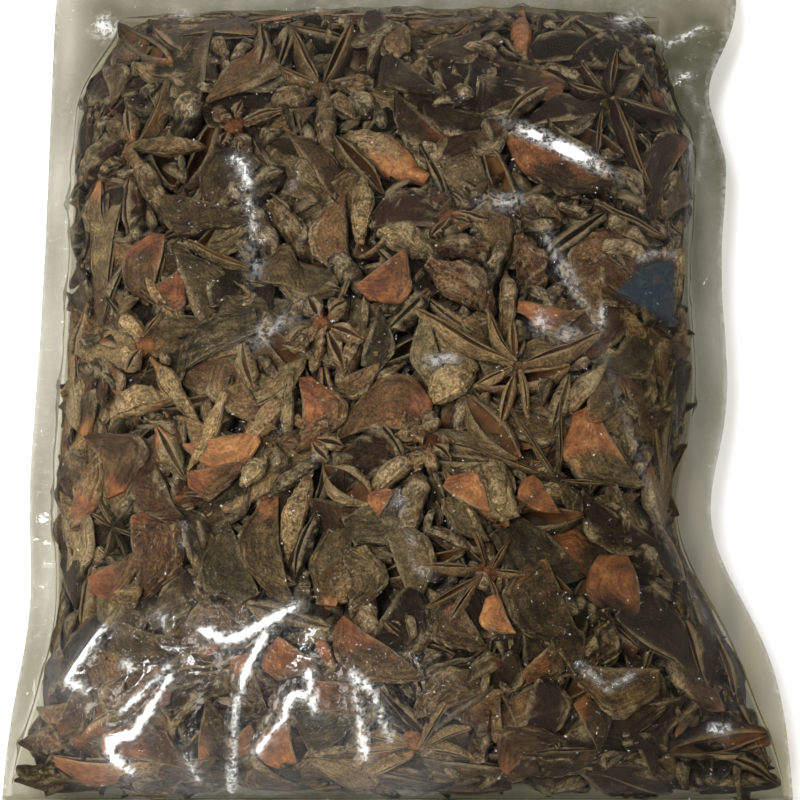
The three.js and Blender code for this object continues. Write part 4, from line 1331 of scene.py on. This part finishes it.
# painted glare in tilted bells, patchy with a noise's crests
def glareMilkiness(x, y, bentPlace):
    whiteAndGlare = 0 * x
    patchy = 0.25 + 0.9 * smooth(0.4, 0.85, ridged(bentPlace, 3.4, 26))
    for smearX, smearY, halfLong, halfWide, degrees, strong in glareSmears:
        cosine, sine = math.cos(math.radians(degrees)), math.sin(math.radians(degrees))
        dx, dy = x - smearX, y - smearY
        along, aside = dx * cosine + dy * sine, dy * cosine - dx * sine
        whiteAndGlare = np.maximum(whiteAndGlare, strong * patchy * bell(np.hypot(along / halfLong, aside / halfWide), 0.85))
    return whiteAndGlare


# Height of the film's folds, how folded it is and how white, its white partly the creases' own and partly
# painted glare: crests of two warped noises where it is crumpled, and bells across the sharp folds.
def filmFolds(x, y):
    flat = np.stack([x, y, 0 * x], -1)
    warp = 7 * (noise(flat, 14.0, 22) - 0.5)
    bentPlace = np.stack([x + warp, y - warp, 0 * x], -1)
    crests = 0.7 * ridged(bentPlace * [1.0, 0.7, 1], 11.0, 23) ** 3 + 0.35 * ridged(bentPlace, 5.0, 24) ** 2
    crumpled = crumpledShare(x, y)
    height = crests * crumpled
    folded = smooth(0.1, 0.9, crumpled)
    whiteAndGlare = glareMilkiness(x, y, bentPlace)
    strength = 0.35 + 0.65 * smooth(0.25, 0.6, noise(flat, 3.0, 25))
    for rise, halfWide, whitenessAndGlare, chain in sharpFolds:
        distance = fromChain(x, y, chain)
        height = height + rise * bell(distance, halfWide)
        folded = np.maximum(folded, min(2.5 * whitenessAndGlare, 1.0) * bell(distance, halfWide * 1.8))
        core = halfWide * 0.55 * strength
        whiteAndGlare = np.maximum(whiteAndGlare, whitenessAndGlare * smooth(core + 0.55, core - 0.25, distance))
        whiteAndGlare = np.maximum(whiteAndGlare, 0.10 * whitenessAndGlare * bell(distance, halfWide * 2.0))
    return height, folded, whiteAndGlare


# painted shade: the right margin's haze is partly the heap's shade, and the corner term darkens the film over
# the lower right
haziness = {
    "left": 0.72, "rightLow": 0.52, "rightMiddle": 0.72, "rightHigh": 1.2, "rightTop": 0.75,
    "flank": 0.75, "fin": 0.68, "bottomFin": 1.4, "doubled": 0.36, "paintedShadeCorner": 0.21,
}


# how hazy the film is: its margins and its fin in streaks, a doubled stretch at the right, and painted shade
# over the lower right corner; the right margin is darker partly as painted shade from the heap
def filmHaze(across, along, x, y):
    streaks = 0.72 + 0.5 * noise(np.stack([x * 1.6, y * 0.3, 0 * x], -1), 5.0, 27)
    right = mix(haziness["rightLow"], haziness["rightMiddle"], smooth(-35, 5, y))
    right = mix(right, haziness["rightHigh"], smooth(15, 50, y))
    right = mix(right, haziness["rightTop"], smooth(62, 74, y))
    aside, endwise = np.abs(across), np.abs(along)
    flank = haziness["flank"] * np.maximum(smooth(20.0, 9.0, upperZ - lowerZ), smooth(0.95, 0.985, aside))
    margin = np.where(across > 0, right, haziness["left"]) * np.maximum(smooth(0.985, 1.02, aside), flank)
    fin = haziness["fin"] * np.maximum(smooth(0.985, 1.0, endwise), 0.5 * smooth(0.96, 0.985, endwise))
    fin = np.where(along < 0, fin * haziness["bottomFin"], fin)
    foldX = np.interp(-y, [-point[1] for point in foldLine], [point[0] for point in foldLine])
    doubled = haziness["doubled"] * smooth(0.0, 5.0, x - foldX) * smooth(8.0, 0.0, y)
    paintedShadeCorner = haziness["paintedShadeCorner"] * smooth(0, 35, x) * smooth(-12, -50, y)
    return np.maximum(np.maximum(margin, fin) * streaks, np.maximum(doubled, paintedShadeCorner))


def makeFilm():
    across, along = heapPlace(filmX, filmY)
    outside = (np.abs(across) >= 0.999) | (np.abs(along) >= 0.999)
    sheets = []
    for z, normal in ((upperZ, upperNormal), (lowerZ, lowerNormal)):
        points = np.stack([filmX, filmY, z], -1)
        drop = tautSkin(podSupport(points, normal), outside)
        if normal is lowerNormal:
            drop = np.where(z < 0.5, np.minimum(drop, 0.0), drop)
        drop = np.clip(drop, -film["deepest"], film["highest"])
        sheets.append(points + normal * drop[..., None])
    upper, lower = sheets
    folds, folded, whiteAndGlare = filmFolds(filmX, filmY)
    upper = upper + upperNormal * folds[..., None]
    lower[..., 2] = np.maximum(lower[..., 2], 0.0)
    points, quads = closedSheets(upper, lower)
    haze = filmHaze(across, along, filmX, filmY)
    rimward = smooth(0.80, 0.90, np.maximum(np.abs(across), np.abs(along)))
    lowerHaze = np.where(outside, haze, rimward)
    rim = np.minimum(filmX - filmLeft(filmY), filmRight(filmY) - filmX)
    # painted highlight: a pale line along the film's edge
    whiteAndGlare = np.maximum(whiteAndGlare, film["rimHighlight"] * bell(rim, 0.7))
    shine = mix(*film["shine"], folded)
    # painted reflection: where the dull blue patch lies
    blueReflection = film["blueReflection"] * smooth(-0.2, 1.2, insideOutline(filmX, filmY, blueReflectionPatch))
    none = 0 * blueReflection
    looks = {  # the upper film's, then the lower one's
        "blueReflection": np.stack([blueReflection, none]), "haze": np.stack([haze, lowerHaze]),
        "creaseWhiteAndGlare": np.stack([whiteAndGlare, none]), "shine": np.stack([shine, none + film["underShine"]]),
    }
    return makePiece("film", points, quads, filmMat, looks)


filmPiece = makeFilm()
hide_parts("filled_bag")
for piece in pieces:
    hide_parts("filled_bag")


def makeFloor():
    material, nodes = newMaterial("pale floor")
    tint = nodes.ramp(nodes.noise(nodes.place(), 40.0, 3.0), [(0.0, gray(0.88)), (1.0, gray(0.92))])
    nodes.finish(nodes.add("ShaderNodeBsdfPrincipled", {"Base Color": tint, "Roughness": 0.7}))
    side, below = 6.0, -0.0002
    mesh = bpy.data.meshes.new("floor")
    corners = [(-side, -side), (side, -side), (side, side), (-side, side)]
    mesh.from_pydata([(*corner, below) for corner in corners], [], [(0, 1, 2, 3)])
    mesh.materials.append(material)
    floor = bpy.data.objects.new("floor", mesh)
    bpy.context.scene.collection.objects.link(floor)


# a softbox at an azimuth and an elevation from its aim, in degrees, metres and watts
def makeLight(name, azimuth, elevation, distance, width, height, power, colour, aim):
    data = bpy.data.lights.new(name, "AREA")
    data.shape = "RECTANGLE"
    data.size, data.size_y = width, height
    data.energy = power
    data.color = colour
    light = bpy.data.objects.new(name, data)
    a, e = math.radians(azimuth), math.radians(elevation)
    away = Vector((math.sin(a) * math.cos(e), -math.cos(a) * math.cos(e), math.sin(e)))
    light.location = Vector(aim) + away * distance
    light.rotation_euler = away.to_track_quat("Z", "Y").to_euler()
    bpy.context.scene.collection.objects.link(light)
    return light


# a room that is bright round the sides and dimmer overhead, so that the film's flat top mirrors little
def makeWorld():
    world = bpy.data.worlds.new("studio")
    world.use_nodes = True
    nodes = Nodes(world.node_tree)
    direction = nodes.add("ShaderNodeTexCoord", output="Generated")
    height = nodes.add("ShaderNodeSeparateXYZ", {0: direction}, output="Z")
    light = nodes.ramp(height, [(0.0, gray(1.2)), (0.60, gray(1.5)), (0.82, gray(0.3))])
    background = nodes.add("ShaderNodeBackground", {"Color": light, "Strength": 1.0})
    nodes.add("ShaderNodeOutputWorld", {"Surface": background})
    bpy.context.scene.world = world


def makeLights():
    makeLight("key softbox", -50, 50, 0.85, 0.32, 0.32, 4.2, (1, 0.97, 0.92), (0, -0.015, 0.02))
    makeLight("glare", -79, 75, 1.0, 0.26, 0.22, 8, (1, 1, 1), (-0.035, -0.06, 0.036))


def makeCamera():
    view = {"elevation": 70.0, "distance": 0.385, "lens": 90.6, "centre": (0.0005, -0.0165, 0.018)}
    data = bpy.data.cameras.new("camera")
    data.lens = view["lens"]
    data.sensor_width = 36.0
    data.clip_start = 0.01
    camera = bpy.data.objects.new("camera", data)
    e = math.radians(view["elevation"])
    away = Vector((0, -math.cos(e), math.sin(e)))
    camera.location = Vector(view["centre"]) + away * view["distance"]
    camera.rotation_euler = away.to_track_quat("Z", "Y").to_euler()
    bpy.context.scene.collection.objects.link(camera)
    bpy.context.scene.camera = camera


makeFloor()
makeWorld()
makeLights()
makeCamera()
bpy.context.scene.view_settings.view_transform = "Standard"
bpy.context.scene.view_settings.look = "None"
print("stage ready")
